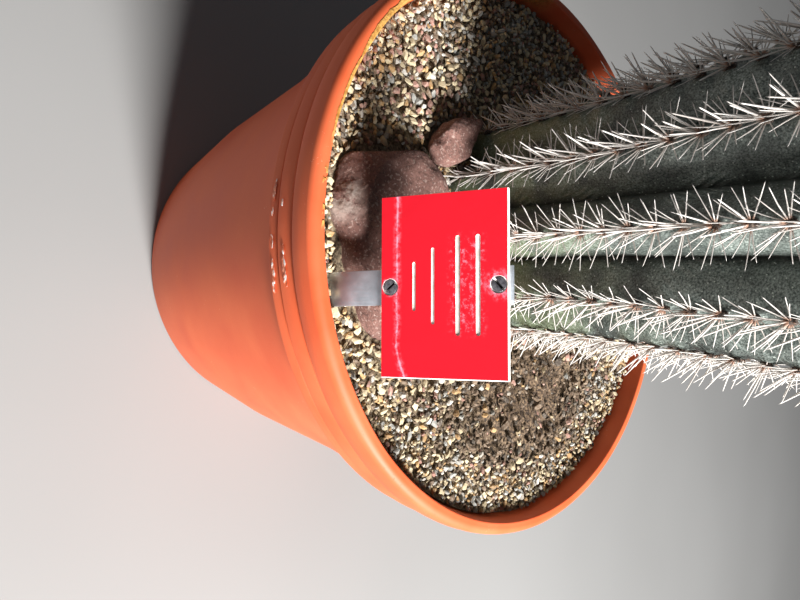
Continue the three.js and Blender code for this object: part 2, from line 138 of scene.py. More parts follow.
def apply_modifier(piece: Piece, kind: str, **settings: object) -> None:
    """Adds a modifier to a piece and applies it.

    Args:
        piece: The piece to change.
        kind: The modifier's type.
        settings: The modifier's settings by name.
    """
    modifier = piece.modifiers.new(kind.lower(), kind)
    for name, value in settings.items():
        setattr(modifier, name, value)
    activate(piece)
    bpy.ops.object.modifier_apply(modifier=modifier.name)


def roughen(piece: Piece, grain: float, depth: float) -> None:
    """Pushes a surface in and out along its normals by a cloudy pattern.

    Args:
        piece: The piece to roughen.
        grain: The pattern's scale in millimetres.
        depth: The whole range of the push in millimetres.
    """
    pattern = bpy.data.textures.new(f"{piece.name}_grain", "CLOUDS")
    pattern.noise_scale = grain * MM
    apply_modifier(piece, "DISPLACE", texture=pattern, strength=depth * MM, mid_level=0.5)


def break_edges(piece: Piece, width: float, degrees: float) -> None:
    """Bevels the edges sharper than an angle.

    Args:
        piece: The piece to change.
        width: The bevel's width in millimetres.
        degrees: The angle.
    """
    angle = math.radians(degrees)
    apply_modifier(piece, "BEVEL", width=width * MM, segments=2, limit_method="ANGLE", angle_limit=angle)


def cut(piece: Piece, cutter: Piece) -> None:
    """Takes a closed cutter out of a piece, and removes the cutter."""
    apply_modifier(piece, "BOOLEAN", object=cutter, operation="DIFFERENCE", solver="EXACT")
    bpy.data.objects.remove(cutter)


def smooth(piece: Piece, degrees: float) -> None:
    """Shades a piece smooth, but for edges sharper than an angle."""
    activate(piece)
    bpy.ops.object.shade_smooth_by_angle(angle=math.radians(degrees))


def settle(piece: Piece, place: Matrix | None = None) -> None:
    """Moves a piece to its place and leaves its object at the origin, with the place in its mesh.

    Args:
        piece: The piece to settle.
        place: Where its own frame goes, in metres.
    """
    if place is not None:
        piece.matrix_basis = place @ piece.matrix_basis
    activate(piece)
    bpy.ops.object.transform_apply(location=True, rotation=True, scale=True)


def block(size: Triple, place: Triple = (0, 0, 0)) -> Piece:
    """Adds a box, in millimetres.

    Args:
        size: Its size along X, Y and Z.
        place: Where its middle is.

    Returns:
        The box, settled.
    """
    deselect_all()
    bpy.ops.mesh.primitive_cube_add(size=1)
    piece = bpy.context.object
    piece.scale = Vector(size) * MM
    piece.location = Vector(place) * MM
    settle(piece)
    return piece


def rod(radius: float, length: float, sides: int = 32, place: Triple = (0, 0, 0)) -> Piece:
    """Adds an upright rod, in millimetres.

    Args:
        radius: Its radius to the corners.
        length: Its length.
        sides: How many sides it has.
        place: Where its middle is.

    Returns:
        The rod, not settled.
    """
    deselect_all()
    where = Vector(place) * MM
    bpy.ops.mesh.primitive_cylinder_add(vertices=sides, radius=radius * MM, depth=length * MM, location=where)
    return bpy.context.object


def join(piece: Piece, other: Piece) -> None:
    """Joins another piece to a piece.

    Args:
        piece: The piece that stays.
        other: The piece that goes into it.
    """
    activate(piece)
    other.select_set(True)
    bpy.ops.object.join()


def close_seams(threshold: float = 0.01) -> None:
    """Merges an open piece's doubled points, and turns its faces outwards."""
    bpy.ops.mesh.select_all(action="SELECT")
    bpy.ops.mesh.remove_doubles(threshold=threshold * MM)
    bpy.ops.mesh.normals_make_consistent(inside=False)


def turned(name: str, outline: list[Pair], steps: int) -> Piece:
    """Spins an outline that starts and ends on the Z axis.

    Args:
        name: The new piece's name.
        outline: Its points as (radius, height) in millimetres.
        steps: How many steps go round.

    Returns:
        The closed piece.
    """
    deselect_all()
    bpy.ops.mesh.primitive_plane_add(size=MM)
    piece = bpy.context.object
    piece.name = name
    with edit_mode(piece):
        bpy.ops.mesh.select_all(action="SELECT")
        bpy.ops.mesh.merge(type="CENTER")
        here = Vector()
        for index, (radius, height) in enumerate(outline):
            there = Vector((radius, 0, height)) * MM
            if index == 0:
                bpy.ops.transform.translate(value=there - here)
            else:
                bpy.ops.mesh.extrude_vertices_move(TRANSFORM_OT_translate={"value": there - here})
            here = there
        bpy.ops.mesh.select_all(action="SELECT")
        bpy.ops.mesh.spin(steps=steps, angle=2 * math.pi, center=(0, 0, 0), axis=(0, 0, 1))
        close_seams()
    return piece


def arc(centre: Pair, radius: float, start: float, end: float, steps: int) -> list[Pair]:
    """Points on an arc of an outline.

    Args:
        centre: The arc's centre as (radius, height).
        radius: The arc's own radius.
        start: Its first angle in degrees, anticlockwise from outwards.
        end: Its last angle in degrees.
        steps: How many steps it has.

    Returns:
        The points from start to end.
    """
    angles = [math.radians(start + (end - start) * i / steps) for i in range(steps + 1)]
    return [(centre[0] + radius * math.cos(a), centre[1] + radius * math.sin(a)) for a in angles]


def unit_ball(subdivisions: int) -> tuple[Array, Array]:
    """A ball of radius 1, as arrays of its points and triangles.

    Args:
        subdivisions: How fine it is.

    Returns:
        The points and the triangles.
    """
    deselect_all()
    bpy.ops.mesh.primitive_ico_sphere_add(subdivisions=subdivisions, radius=1)
    ball = bpy.context.object
    points = np.array([v.co for v in ball.data.vertices])
    triangles = np.array([tuple(face.vertices) for face in ball.data.polygons])
    bpy.data.objects.remove(ball)
    return points, triangles


def tube_faces(rings: int, sides: int) -> list[tuple[int, int, int]]:
    """The triangles between rings of points that follow one another.

    Args:
        rings: How many rings there are.
        sides: How many points each ring has.

    Returns:
        The triangles.
    """
    faces = []
    for ring in range(rings - 1):
        for side in range(sides):
            a, b = ring * sides + side, ring * sides + (side + 1) % sides
            faces += [(a, b, b + sides), (a, b + sides, a + sides)]
    return faces


def joined_mesh(name: str, points: Array, faces: Array, **marks: Array) -> Piece:
    """Makes one piece from arrays.

    Args:
        name: The new piece's name.
        points: Its points in millimetres.
        faces: The corners of its faces, each with as many corners as the array has columns.
        marks: Numbers that each point carries, by name.

    Returns:
        The new piece.
    """
    mesh = bpy.data.meshes.new(name)
    mesh.vertices.add(len(points))
    set_points(mesh, points)
    mesh.loops.add(faces.size)
    mesh.loops.foreach_set("vertex_index", faces.astype(np.int32).ravel())
    mesh.polygons.add(len(faces))
    mesh.polygons.foreach_set("loop_start", np.arange(0, faces.size, faces.shape[1], dtype=np.int32))
    mesh.update(calc_edges=True)
    mark_points(mesh, **marks)
    piece = bpy.data.objects.new(name, mesh)
    bpy.context.scene.collection.objects.link(piece)
    return piece


def set_points(mesh: bpy.types.Mesh, points: Array) -> None:
    """Puts a mesh's points at places in millimetres."""
    mesh.vertices.foreach_set("co", (points * MM).astype(np.float32).ravel())


def mark_points(mesh: bpy.types.Mesh, **marks: Array) -> None:
    """Gives each point of a mesh its own numbers, by name, for a finish to read.

    Args:
        mesh: The mesh.
        marks: The numbers of each name.
    """
    for mark, values in marks.items():
        attribute = mesh.attributes.new(mark, "FLOAT", "POINT")
        attribute.data.foreach_set("value", values.astype(np.float32).ravel())


# Materials


# The settings that a kind of node has here unless a call gives others
USUAL = {
    "Math": {"operation": "MULTIPLY"},
    "Mix": {"data_type": "RGBA"},
    "MapRange": {"interpolation_type": "SMOOTHSTEP"},
}
# The outputs that are used of the kinds whose first one isn't
GIVES = {"TexCoord": "Object", "Attribute": "Fac", "TexWave": "Fac"}


def linear(code: str) -> Quad:
    """Turns an sRGB hex value into a linear colour.

    Args:
        code: The hex value.

    Returns:
        Its red, green, blue and alpha.
    """
    shares = [int(code[i : i + 2], 16) / 255 for i in (1, 3, 5)]
    values = [s / 12.92 if s <= 0.04045 else ((s + 0.055) / 1.055) ** 2.4 for s in shares]
    return (*values, 1.0)


def feed(socket: Socket, value: object) -> None:
    """Links an output to a socket, or sets the socket.

    Args:
        socket: The socket.
        value: An output, a colour's hex value or a plain value. None leaves the socket as it is.
    """
    if isinstance(value, Socket):
        socket.id_data.links.new(value, socket)
    elif value is not None:
        socket.default_value = linear(value) if isinstance(value, str) else value


def add_node(tree: Tree, kind: str, *feeds: object, **settings: object) -> Socket:
    """Adds a node with its settings and links.

    Args:
        tree: The node tree.
        kind: The node's type, without its ShaderNode prefix.
        feeds: What feeds its live sockets, in their order.
        settings: Values by name. A capital starts a socket's name, and other names are the node's own, but
            for grain, a pattern's size in millimetres, and stops, a colour ramp's places and hex values.

    Returns:
        The output that GIVES names, or else the first live one.
    """
    node = tree.nodes.new("ShaderNode" + kind)
    for name, value in (USUAL.get(kind, {}) | settings).items():
        if name == "stops":
            elements = node.color_ramp.elements
            while len(elements) < len(value):
                elements.new(1.0)
            for element, (place, code) in zip(elements, value):
                element.position = place
                element.color = linear(code)
        elif name == "grain":
            feed(node.inputs["Scale"], 1 / (value * MM))
        elif name[0].isupper():
            feed(node.inputs[name], value)
        else:
            setattr(node, name, value)
    for socket, value in zip([socket for socket in node.inputs if socket.enabled], feeds):
        feed(socket, value)
    return node.outputs[GIVES[kind]] if kind in GIVES else next(s for s in node.outputs if s.enabled)


class Finish:
    """A finish that a piece is dressed in. Each kind says in build what it is made of."""

    def build(self, add: Add) -> Feeds:
        """Adds its nodes by a function, and gives what the shader's sockets get."""
        raise NotImplementedError

    def material(self) -> bpy.types.Material:
        """Makes the material once, named for its finish, and finds it again afterwards.

        Returns:
            The material.
        """
        found = bpy.data.materials.get(self.name)
        if found:
            return found
        made = bpy.data.materials.new(self.name)
        made.use_nodes = True
        shader = made.node_tree.nodes["Principled BSDF"]
        for name, value in self.build(partial(add_node, made.node_tree)).items():
            feed(shader.inputs[name], value)
        return made

    @staticmethod
    def relief(add: Add, *heights: tuple[Socket, float]) -> Socket:
        """Adds bumps one over another.

        Args:
            add: Adds a node.
            heights: Each pattern with its depth in millimetres.

        Returns:
            The bumped normal.
        """
        normal = None
        for source, depth in heights:
            normal = add("Bump", None, depth * MM, None, source, normal)
        return normal


@dataclass(frozen=True)
class GrainedFinish(Finish):
    """A finish of one cloudy grain, which gives both its colour and its relief."""

    name: str
    grain: float
    detail: float
    stops: Stops
    roughness: float
    depth: float = 0.0
    sheen: float = 0.0

    def build(self, add: Add) -> Feeds:
        """Adds the grain, coloured by its ramp.

        Args:
            add: Adds a node.

        Returns:
            What the shader's sockets get.
        """
        grain = add("TexNoise", add("TexCoord"), grain=self.grain, Detail=self.detail)
        return {
            "Base Color": add("ValToRGB", grain, stops=self.stops),
            "Roughness": self.roughness,
            "Sheen Weight": self.sheen,
            "Normal": self.relief(add, (grain, self.depth)) if self.depth else None,
        }


@dataclass(frozen=True)
class MouldedPlastic(Finish):
    """Injection-moulded polypropylene, coloured like fired clay.

    It shows a long soft highlight, faint rings left by the mould, scuffs, and a crust of ochre lime on
    the inner edge of the lip, where water dries.
    """

    name: str = "moulded_polypropylene_terracotta"
    body: str = "#d2582f"
    faded: str = "#dc6b42"
    scuff: str = "#f3b89c"
    lime: str = "#a56f2d"
    lime_edge: str = "#cfa056"
    crust_radius: float = 158.2
    crust_softness: float = 0.35
    crust_wander: float = 7.0
    crust_foot: float = RIM_TOP - 14.0
    crust_full: float = RIM_TOP - 5.0
    band_deg: Pair = (-104.0, -109.0)
    band_end_deg: Pair = (168.0, 178.0)
    patch_deg: float = -96.5
    patch_reach_deg: Pair = (5.5, 4.0)

    def build(self, add: Add) -> Feeds:
        """Adds the plastic, its mould rings, scuffs and lime.

        Args:
            add: Adds a node.

        Returns:
            What the shader's sockets get.
        """
        place = add("TexCoord")
        height = add("SeparateXYZ", place).node.outputs[2]
        cloud = add("TexNoise", place, grain=45.0, Detail=4.0)
        plastic = add("ValToRGB", cloud, stops=((0.35, self.body), (0.7, self.faded)))
        rings = add("TexNoise", height, noise_dimensions="1D", grain=1.4, Detail=2.0)
        scratches = add("TexNoise", place, grain=2.2, Detail=2.0, Distortion=2.5)
        scratch = add("MapRange", scratches, 0.71, 0.76)
        worn = add("Math", scratch, add("MapRange", cloud, 0.5, 0.66))
        scuffed = add("Mix", worn, plastic, self.scuff)
        crust = add("Math", self.inner_edge(add, place), self.crusted(add, place))
        grains = add("TexNoise", place, grain=2.6, Detail=5.0)
        lime = add("ValToRGB", grains, stops=((0.35, self.lime), (0.62, self.lime_edge)))
        gloss = add("MapRange", cloud, 0.3, 0.7, 0.52, 0.62)
        return {
            "Base Color": add("Mix", crust, scuffed, lime),
            "Roughness": add("Math", crust, 0.5, gloss, operation="MULTIPLY_ADD"),
            "Normal": self.relief(add, (rings, 0.05), (add("Math", crust, grains), 0.9), (scratch, -0.08)),
            "Specular IOR Level": 0.36,
        }

    def inner_edge(self, add: Add, place: Socket) -> Socket:
        """Says where the inner edge of the lip is, with a wandering outline.

        Args:
            add: Adds a node.
            place: The object's own coordinates.

        Returns:
            How far each place lies on the inner edge.
        """
        height = add("SeparateXYZ", place).node.outputs[2]
        flat = add("VectorMath", place, (1, 1, 0), operation="MULTIPLY")
        radius = add("VectorMath", flat, operation="LENGTH")
        cloud = add("TexNoise", place, grain=26.0, Detail=6.0)
        wobble = add("Math", cloud, self.crust_wander * MM, radius, operation="MULTIPLY_ADD")
        edge, soft = self.crust_radius * MM, self.crust_softness * MM
        inside = add("MapRange", wobble, edge + soft, edge - soft)
        return add("Math", inside, add("MapRange", height, self.crust_foot * MM, self.crust_full * MM))

    def crusted(self, add: Add, place: Socket) -> Socket:
        """Says where round the pot the lime lies: all along the left, and in patches at the front.

        Args:
            add: Adds a node.
            place: The object's own coordinates.

        Returns:
            How far the lime covers each place.
        """
        x, y, _ = add("SeparateXYZ", place).node.outputs
        turn = add("Math", y, x, operation="ARCTAN2")
        band, end = (
            add("MapRange", turn, *map(math.radians, limits)) for limits in (self.band_deg, self.band_end_deg)
        )
        off = add("Math", turn, math.radians(self.patch_deg), operation="SUBTRACT")
        away = add("Math", off, operation="ABSOLUTE")
        near = add("MapRange", away, *map(math.radians, self.patch_reach_deg))
        broken = add("MapRange", add("TexNoise", place, grain=7.0, Detail=3.0), 0.46, 0.5)
        both = add("Math", band, end, operation="MAXIMUM")
        return add("Math", both, add("Math", near, broken), operation="MAXIMUM")


@dataclass(frozen=True)
class TornPlastic(GrainedFinish):
    """Torn flakes of the same plastic, glossy enough to glint, whose near-white colour is partly plastic
    stretched white where it was pulled and partly a painted glint.
    """

    name: str = "torn_polypropylene"
    grain: float = 3.2
    detail: float = 4.0
    # Partly painted highlight: the near-white stop is plastic pulled white and also a painted glint
    stops: Stops = ((0.42, "#b4502c"), (0.52, "#e58f6d"), (0.6, "#f6ece6"))
    roughness: float = 0.22
    depth: float = 0.5


@dataclass(frozen=True)
class WaxySkin(Finish):
    """Living cactus skin: dark grey-green under a pale bloom of wax that is worn into specks.

    The wax is thinner low down, where the skin shows yellow-green, and the valleys are painted darker, as
    painted shade. Its specks are drawn 0.8 mm wide, coarser than real ones, so that they show.
    """

    name: str = "waxy_cactus_skin"
    deep: str = "#1b221e"
    mid: str = "#333f38"
    bloom: str = "#b7c0b8"
    young: str = "#7d8a55"
    # Painted shade: the dark colour painted into the valleys between the ribs
    valley_shade: str = "#2e312b"
    dot: str = "#c3cbc0"

    def build(self, add: Add) -> Feeds:
        """Adds the skin by its own marks: how far a point lies from its crest, and how high.

        Args:
            add: Adds a node.

        Returns:
            What the shader's sockets get.
        """
        crest = add("Attribute", attribute_name="from_crest")
        height = add("Attribute", attribute_name="height_mm")
        place = add("TexCoord")
        specks = add("TexNoise", place, grain=0.8, Detail=3.0, Roughness=0.65)
        blotch = add("TexNoise", place, grain=19.0, Detail=4.0)
        skin = add("ValToRGB", blotch, stops=((0.34, self.deep), (0.62, self.mid)))
        wax = add("Math", add("MapRange", specks, 0.3, 0.74), add("MapRange", blotch, 0.3, 0.68, 0.25, 0.8))
        waxed = add("Mix", wax, skin, self.bloom)
        low = add("MapRange", height, 120.0, 10.0, 0.0, 0.5)
        green = add("Math", low, add("MapRange", blotch, 0.35, 0.6))
        greened = add("Mix", green, waxed, self.young)
        # Painted shade: the skin is darkened towards each valley
        valley_shaded = add("Mix", add("MapRange", crest, 0.8, 1.0, 0.0, 0.75), greened, self.valley_shade)
        dots = add("MapRange", add("TexVoronoi", place, grain=2.2), 0.17, 0.1, 0.0, 0.85)
        creases = self.creases(add, crest, height, blotch)
        return {
            "Base Color": add("Mix", dots, valley_shaded, self.dot),
            "Roughness": add("MapRange", specks, 0.35, 0.65, 0.42, 0.62),
            "Normal": self.relief(add, (blotch, 1.4), (creases, 0.5), (specks, 0.05)),
            "Coat Weight": 0.12,
            "Coat Roughness": 0.45,
        }

    @staticmethod
    def creases(add: Add, crest: Socket, height: Socket, blotch: Socket) -> Socket:
        """Adds fine folds that cross the flanks and bend upwards to the valleys.

        Args:
            add: Adds a node.
            crest: How far a point lies from its crest.
            height: How high it lies in millimetres.
            blotch: The pattern that the folds come and go by.

        Returns:
            The height of the folds.
        """
        swept = add("Math", crest, 2.0, operation="POWER")
        bent = add("Math", swept, 26.0, height, operation="MULTIPLY_ADD")
        folds = add("TexWave", add("CombineXYZ", bent), 0.05, 2.5, 2.0, 0.6)
        near_valley = add("Math", add("MapRange", crest, 0.35, 0.8), add("MapRange", blotch, 0.5, 0.66))
        return add("Math", folds, near_valley)


@dataclass(frozen=True)
class BonySpine(Finish):
    """Hard cactus spine: chalky white, shading to brown over its lowest part."""

    name: str = "bony_spine"
    root: str = "#5f3a2a"
    blush: str = "#b48f79"
    shaft: str = "#d0c8c0"
    tip: str = "#e0dbd5"
    shaded: str = "#a8968a"

    def build(self, add: Add) -> Feeds:
        """Adds the spine by its own marks: how far along it a point lies, and its own shade.

        Args:
            add: Adds a node.

        Returns:
            What the shader's sockets get.
        """
        along = add("Attribute", attribute_name="along")
        shade = add("Attribute", attribute_name="shade")
        stops = ((0.0, self.root), (0.1, self.blush), (0.2, self.shaft), (1.0, self.tip))
        colour = add("ValToRGB", along, stops=stops)
        return {"Base Color": add("Mix", shade, colour, self.shaded, blend_type="MULTIPLY"), "Roughness": 0.5}


@dataclass(frozen=True)
class AreoleFelt(GrainedFinish):
    """Short dense plant felt, brown when young and greyed with age. Its tufts are drawn coarse, to show."""

    name: str = "areole_felt"
    grain: float = 1.1
    detail: float = 3.0
    stops: Stops = ((0.35, "#1f1713"), (0.55, "#463529"), (0.75, "#8b7a6c"))
    roughness: float = 0.95
    depth: float = 0.5
    sheen: float = 0.3


class Grit(Enum):
    """The kinds of stone in the gravel, each with its hex colour and its share of the mix."""

    CREAM = ("#d2c09c", 0.3)
    OCHRE = ("#bd9765", 0.1)
    WHITE = ("#d3cdc2", 0.07)
    GREY = ("#9a9993", 0.17)
    BROWN = ("#755f4a", 0.18)
    MAUVE = ("#a2786a", 0.08)
    DARK = ("#554a40", 0.07)


@dataclass(frozen=True)
class CrushedStone(Finish):
    """Crushed and tumbled stone of one colour, matt, with a fine grain and a little dust."""

    kind: Grit
    dust: str = "#cfc3b1"
    dulled: str = "#75644f"

    @property
    def name(self) -> str:
        """The material's name."""
        return f"crushed_stone_{self.kind.name.lower()}"

    def build(self, add: Add) -> Feeds:
        """Adds the stone, darkened by each grain's own mark, which mixes random tone, dust and painted light.

        Args:
            add: Adds a node.

        Returns:
            What the shader's sockets get.
        """
        shade = add("Attribute", attribute_name="shade")
        grain = add("TexNoise", add("TexCoord"), grain=1.2, Detail=3.0)
        dusty = add("Mix", add("MapRange", grain, 0.4, 0.75, 0.0, 0.4), self.kind.value[0], self.dust)
        return {
            # The grain's mark darkens it towards the dulled colour: random tone, dust, and painted light that
            # leaves some zones paler
            "Base Color": add("Mix", shade, dusty, self.dulled, blend_type="MULTIPLY"),
            "Roughness": 0.88,
            "Normal": self.relief(add, (grain, 0.35)),
        }


@dataclass(frozen=True)
class SiltBed(Finish):
    """Pale sand between the stones, and crumbly brown soil where the bed is marked with it."""

    name: str = "silt_bed"
    sand: Stops = ((0.32, "#4c4136"), (0.5, "#85745d"), (0.7, "#b3a185"))
    soil: Stops = ((0.36, "#30261e"), (0.52, "#5f4c3a"), (0.72, "#8d765b"))

    def build(self, add: Add) -> Feeds:
        """Adds the sand and the soil.

        Args:
            add: Adds a node.

        Returns:
            What the shader's sockets get.
        """
        grain = add("TexNoise", add("TexCoord"), grain=1.6, Detail=4.0)
        share = add("Attribute", attribute_name="soil")
        sand, soil = (add("ValToRGB", grain, stops=stops) for stops in (self.sand, self.soil))
        return {
            "Base Color": add("Mix", share, sand, soil),
            "Roughness": 0.97,
            "Normal": self.relief(add, (grain, 1.2)),
        }


@dataclass(frozen=True)
class MauveRock(Finish):
    """Weathered mauve-brown rhyolite, pitted and matt, with pale crystals and a whitish crust in places."""

    name: str = "weathered_rhyolite"
    body: Stops = ((0.3, "#694a41"), (0.5, "#835e54"), (0.7, "#9a7266"))
    # Painted shade: the dark colour painted into the pits
    pit_shade: str = "#4c3731"
    crystal: str = "#c9b2a6"
    crust: str = "#bba99d"
    crust_place: Triple = (-19.0, -139.0, 264.0)
    crust_reach: float = 15.0

    def build(self, add: Add) -> Feeds:
        """Adds the rock, its crust, its crystals and its pits, with painted shade in the pits.

        Args:
            add: Adds a node.

        Returns:
            What the shader's sockets get.
        """
        place = add("TexCoord")
        cloud = add("TexNoise", place, grain=16.0, Detail=6.0, Roughness=0.6)
        body = add("ValToRGB", cloud, stops=self.body)
        pits = add("TexNoise", place, grain=1.4, Detail=5.0, Roughness=0.8)
        # Painted shade: the rock is darkened where its pit relief is lowest
        pitted = add("Mix", add("MapRange", pits, 0.52, 0.36, 0.0, 0.7), body, self.pit_shade)
        sparkle = add("TexNoise", place, grain=1.3, Detail=2.0)
        specked = add("Mix", add("MapRange", sparkle, 0.56, 0.68, 0.0, 0.5), pitted, self.crystal)
        broken = add("TexNoise", place, grain=12.0, Detail=8.0, Roughness=0.68)
        centre = tuple(value * MM for value in self.crust_place)
        gap = add("VectorMath", place, centre, operation="DISTANCE")
        near = add("MapRange", gap, self.crust_reach * MM, 0.3 * self.crust_reach * MM)
        crust = add("Math", near, add("MapRange", broken, 0.4, 0.52, 0.0, 0.85))
        cracks = add("TexNoise", place, grain=26.0, Detail=8.0, Roughness=0.7)
        veins = add("MapRange", cracks, 0.64, 0.7, 0.0, 0.5)
        pale = add("Math", crust, veins, operation="MAXIMUM")
        return {
            "Base Color": add("Mix", pale, specked, self.crust),
            "Roughness": 0.9,
            "Normal": self.relief(add, (pits, 1.0), (cloud, 1.4)),
        }


@dataclass(frozen=True)
class RedLaminate(Finish):
    """The cap layer of two-layer engraving laminate: satin acrylic, with pale scuffs worn by the weather.

    A UV map with its origin at the plate's lower left corner says where the scuffs lie.
    """

    name: str = "engraving_laminate_red_cap"
    red: str = "#ea0d26"
    scuff: str = "#f0a9c0"
    shape: float = 1.39
    line_height: float = 0.158
    line_wander: float = 0.05
    hook_from: float = 0.82
    hook: float = 0.07
    worked_from: Pair = (0.2, 0.8)
    worked_heights: Pair = (0.52, 0.86)
    rings: tuple[Pair, ...] = ((0.928, 0.14), (0.072, 0.09))

    def build(self, add: Add) -> Feeds:
        """Adds the cap layer, a long scuff near the lower edge and worn patches round the screws.

        Args:
            add: Adds a node.

        Returns:
            What the shader's sockets get.
        """
        flat = add("UVMap", uv_map="plate")
        right, up, _ = add("SeparateXYZ", flat).node.outputs
        place = add("TexCoord")
        ragged = add("TexNoise", place, grain=2.2, Detail=5.0, Roughness=0.75)
        wander = add("TexNoise", place, grain=16.0, Detail=3.0)
        hook = add("MapRange", right, self.hook_from, 1.05, 0.0, -self.hook)
        bent = add("Math", hook, up, operation="ADD")
        shifted = add("Math", wander, self.line_wander, bent, operation="MULTIPLY_ADD")
        off = add("Math", shifted, self.line_height, operation="SUBTRACT")
        away = add("Math", off, operation="ABSOLUTE")
        line = add("Math", add("MapRange", away, 0.013, 0.003), add("MapRange", ragged, 0.36, 0.6, 0.2, 1.0))
        haze = add("Math", add("MapRange", away, 0.045, 0.0, 0.0, 0.5), add("MapRange", ragged, 0.42, 0.62))
        rubbed = add("Math", self.worked(add, right, up), add("MapRange", ragged, 0.5, 0.68, 0.0, 0.6))
        worn = add("Math", line, rubbed, operation="MAXIMUM")
        for height, reach in self.rings:
            centre = add("VectorMath", flat, (0.5, height, 0), operation="SUBTRACT")
            scaled = add("VectorMath", centre, (self.shape, 1, 0), operation="MULTIPLY")
            gap = add("VectorMath", scaled, operation="LENGTH")
            ring = add("Math", add("MapRange", gap, reach, 0.05), add("MapRange", ragged, 0.4, 0.68))
            worn = add("Math", worn, ring, operation="MAXIMUM")
        worn = add("Math", worn, haze, operation="MAXIMUM")
        return {
            "Base Color": add("Mix", worn, self.red, self.scuff),
            "Roughness": add("MapRange", worn, 0.0, 0.6, 0.36, 0.7),
            "Normal": self.relief(add, (wander, 0.3), (worn, -0.05)),
        }

    def worked(self, add: Add, right: Socket, up: Socket) -> Socket:
        """Marks the field round the two larger rules, which the engraver's clamp has rubbed.

        Args:
            add: Adds a node.
            right: How far right each place lies on the plate.
            up: How far up it lies.

        Returns:
            How far each place lies in the rubbed field.
        """
        fields = []
        for way, (low, high), soft in ((right, self.worked_from, 0.1), (up, self.worked_heights, 0.08)):
            past_low = add("MapRange", way, low, low + soft)
            fields.append(add("Math", past_low, add("MapRange", way, high, high - soft)))
        return add("Math", *fields)


@dataclass(frozen=True)
class WhiteCore(GrainedFinish):
    """The white acrylic core of engraving laminate, sawn at its edges and cut bare by the engraver."""

    name: str = "engraving_laminate_white_core"
    grain: float = 4.0
    detail: float = 4.0
    stops: Stops = ((0.4, "#fbf8f2"), (0.75, "#d9cdbd"))
    roughness: float = 0.55
    depth: float = 0.05


@dataclass(frozen=True)
class BrushedAluminium(Finish):
    """Mill-finished aluminium strip: fine lines along the strip, blurred reflections and small stains.

    The lines are drawn 0.35 mm apart, coarser than real ones, so that they show.
    """

    name: str = "mill_finished_aluminium"
    colours: Stops = ((0.35, "#c6ced6"), (0.6, "#e6eef7"))
    line_size: Triple = (0.35, 30.0, 30.0)

    def build(self, add: Add) -> Feeds:
        """Adds the metal. Its lines run up the strip, so they follow X and not Z.

        Args:
            add: Adds a node.

        Returns:
            What the shader's sockets get.
        """
        place = add("TexCoord")
        squeezed = add("Mapping", place, Scale=[1 / (size * MM) for size in self.line_size])
        lines = add("TexNoise", squeezed, Scale=1.0, Detail=3.0)
        stain = add("TexNoise", place, grain=9.0, Detail=4.0)
        return {
            "Base Color": add("ValToRGB", stain, stops=self.colours),
            "Roughness": add("MapRange", lines, 0.3, 0.7, 0.36, 0.54),
            "Metallic": 0.85,
            "Normal": self.relief(add, (lines, 0.02), (stain, 0.1)),
        }


@dataclass(frozen=True)
class DulledZinc(Finish):
    """Zinc-plated steel, gone dull outdoors, with bright scratches that are drawn coarse, to show."""

    name: str = "dulled_zinc_plate"
    patina: Stops = ((0.35, "#68656b"), (0.65, "#a6a4aa"))
    bright: str = "#c8c8cc"

    def build(self, add: Add) -> Feeds:
        """Adds the metal.

        Args:
            add: Adds a node.

        Returns:
            What the shader's sockets get.
        """
        place = add("TexCoord")
        patina = add("TexNoise", place, grain=1.4, Detail=4.0)
        scratch = add("TexNoise", place, grain=0.7, Detail=2.0, Distortion=2.0)
        dull = add("ValToRGB", patina, stops=self.patina)
        return {
            "Base Color": add("Mix", add("MapRange", scratch, 0.62, 0.7), dull, self.bright),
            "Roughness": add("MapRange", patina, 0.3, 0.7, 0.5, 0.32),
            "Metallic": 0.9,
            "Normal": self.relief(add, (scratch, 0.06)),
        }


@dataclass(frozen=True)
class SlotPaintedShade(GrainedFinish):
    """A near-black colour painted over the walls and floor of a screw's slot, as painted shade in the recess.
    """

    name: str = "slot_painted_shade"
    grain: float = 0.6
    detail: float = 3.0
    stops: Stops = ((0.3, "#0d0c0c"), (0.7, "#2a2624"))
    roughness: float = 0.8
    depth: float = 0.04


@dataclass(frozen=True)
class StudioPaint(GrainedFinish):
    """Matt emulsion on the studio floor: pale and even."""

    name: str = "matt_studio_paint"
    grain: float = 400.0
    detail: float = 2.0
    stops: Stops = ((0.3, "#8a8987"), (0.7, "#91908e"))
    roughness: float = 0.85


def dress(piece: Piece, name: str, finish: Finish, slot: str, *nodes: str) -> None:
    """Names a piece, gives it its finish, and sets it in place of the plain nodes that it stands for.

    Args:
        piece: The finished piece.
        name: Its name.
        finish: What it is dressed in.
        slot: The material slot of the record that it belongs to. It is not used.
        nodes: The nodes that it replaces.
    """
    piece.name = name
    piece.data.name = name
    if not piece.data.materials:
        piece.data.materials.append(finish.material())
    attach(piece, "root")
    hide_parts(*nodes)
    log.info("%s: %d faces", name, len(piece.data.polygons))


# The studio


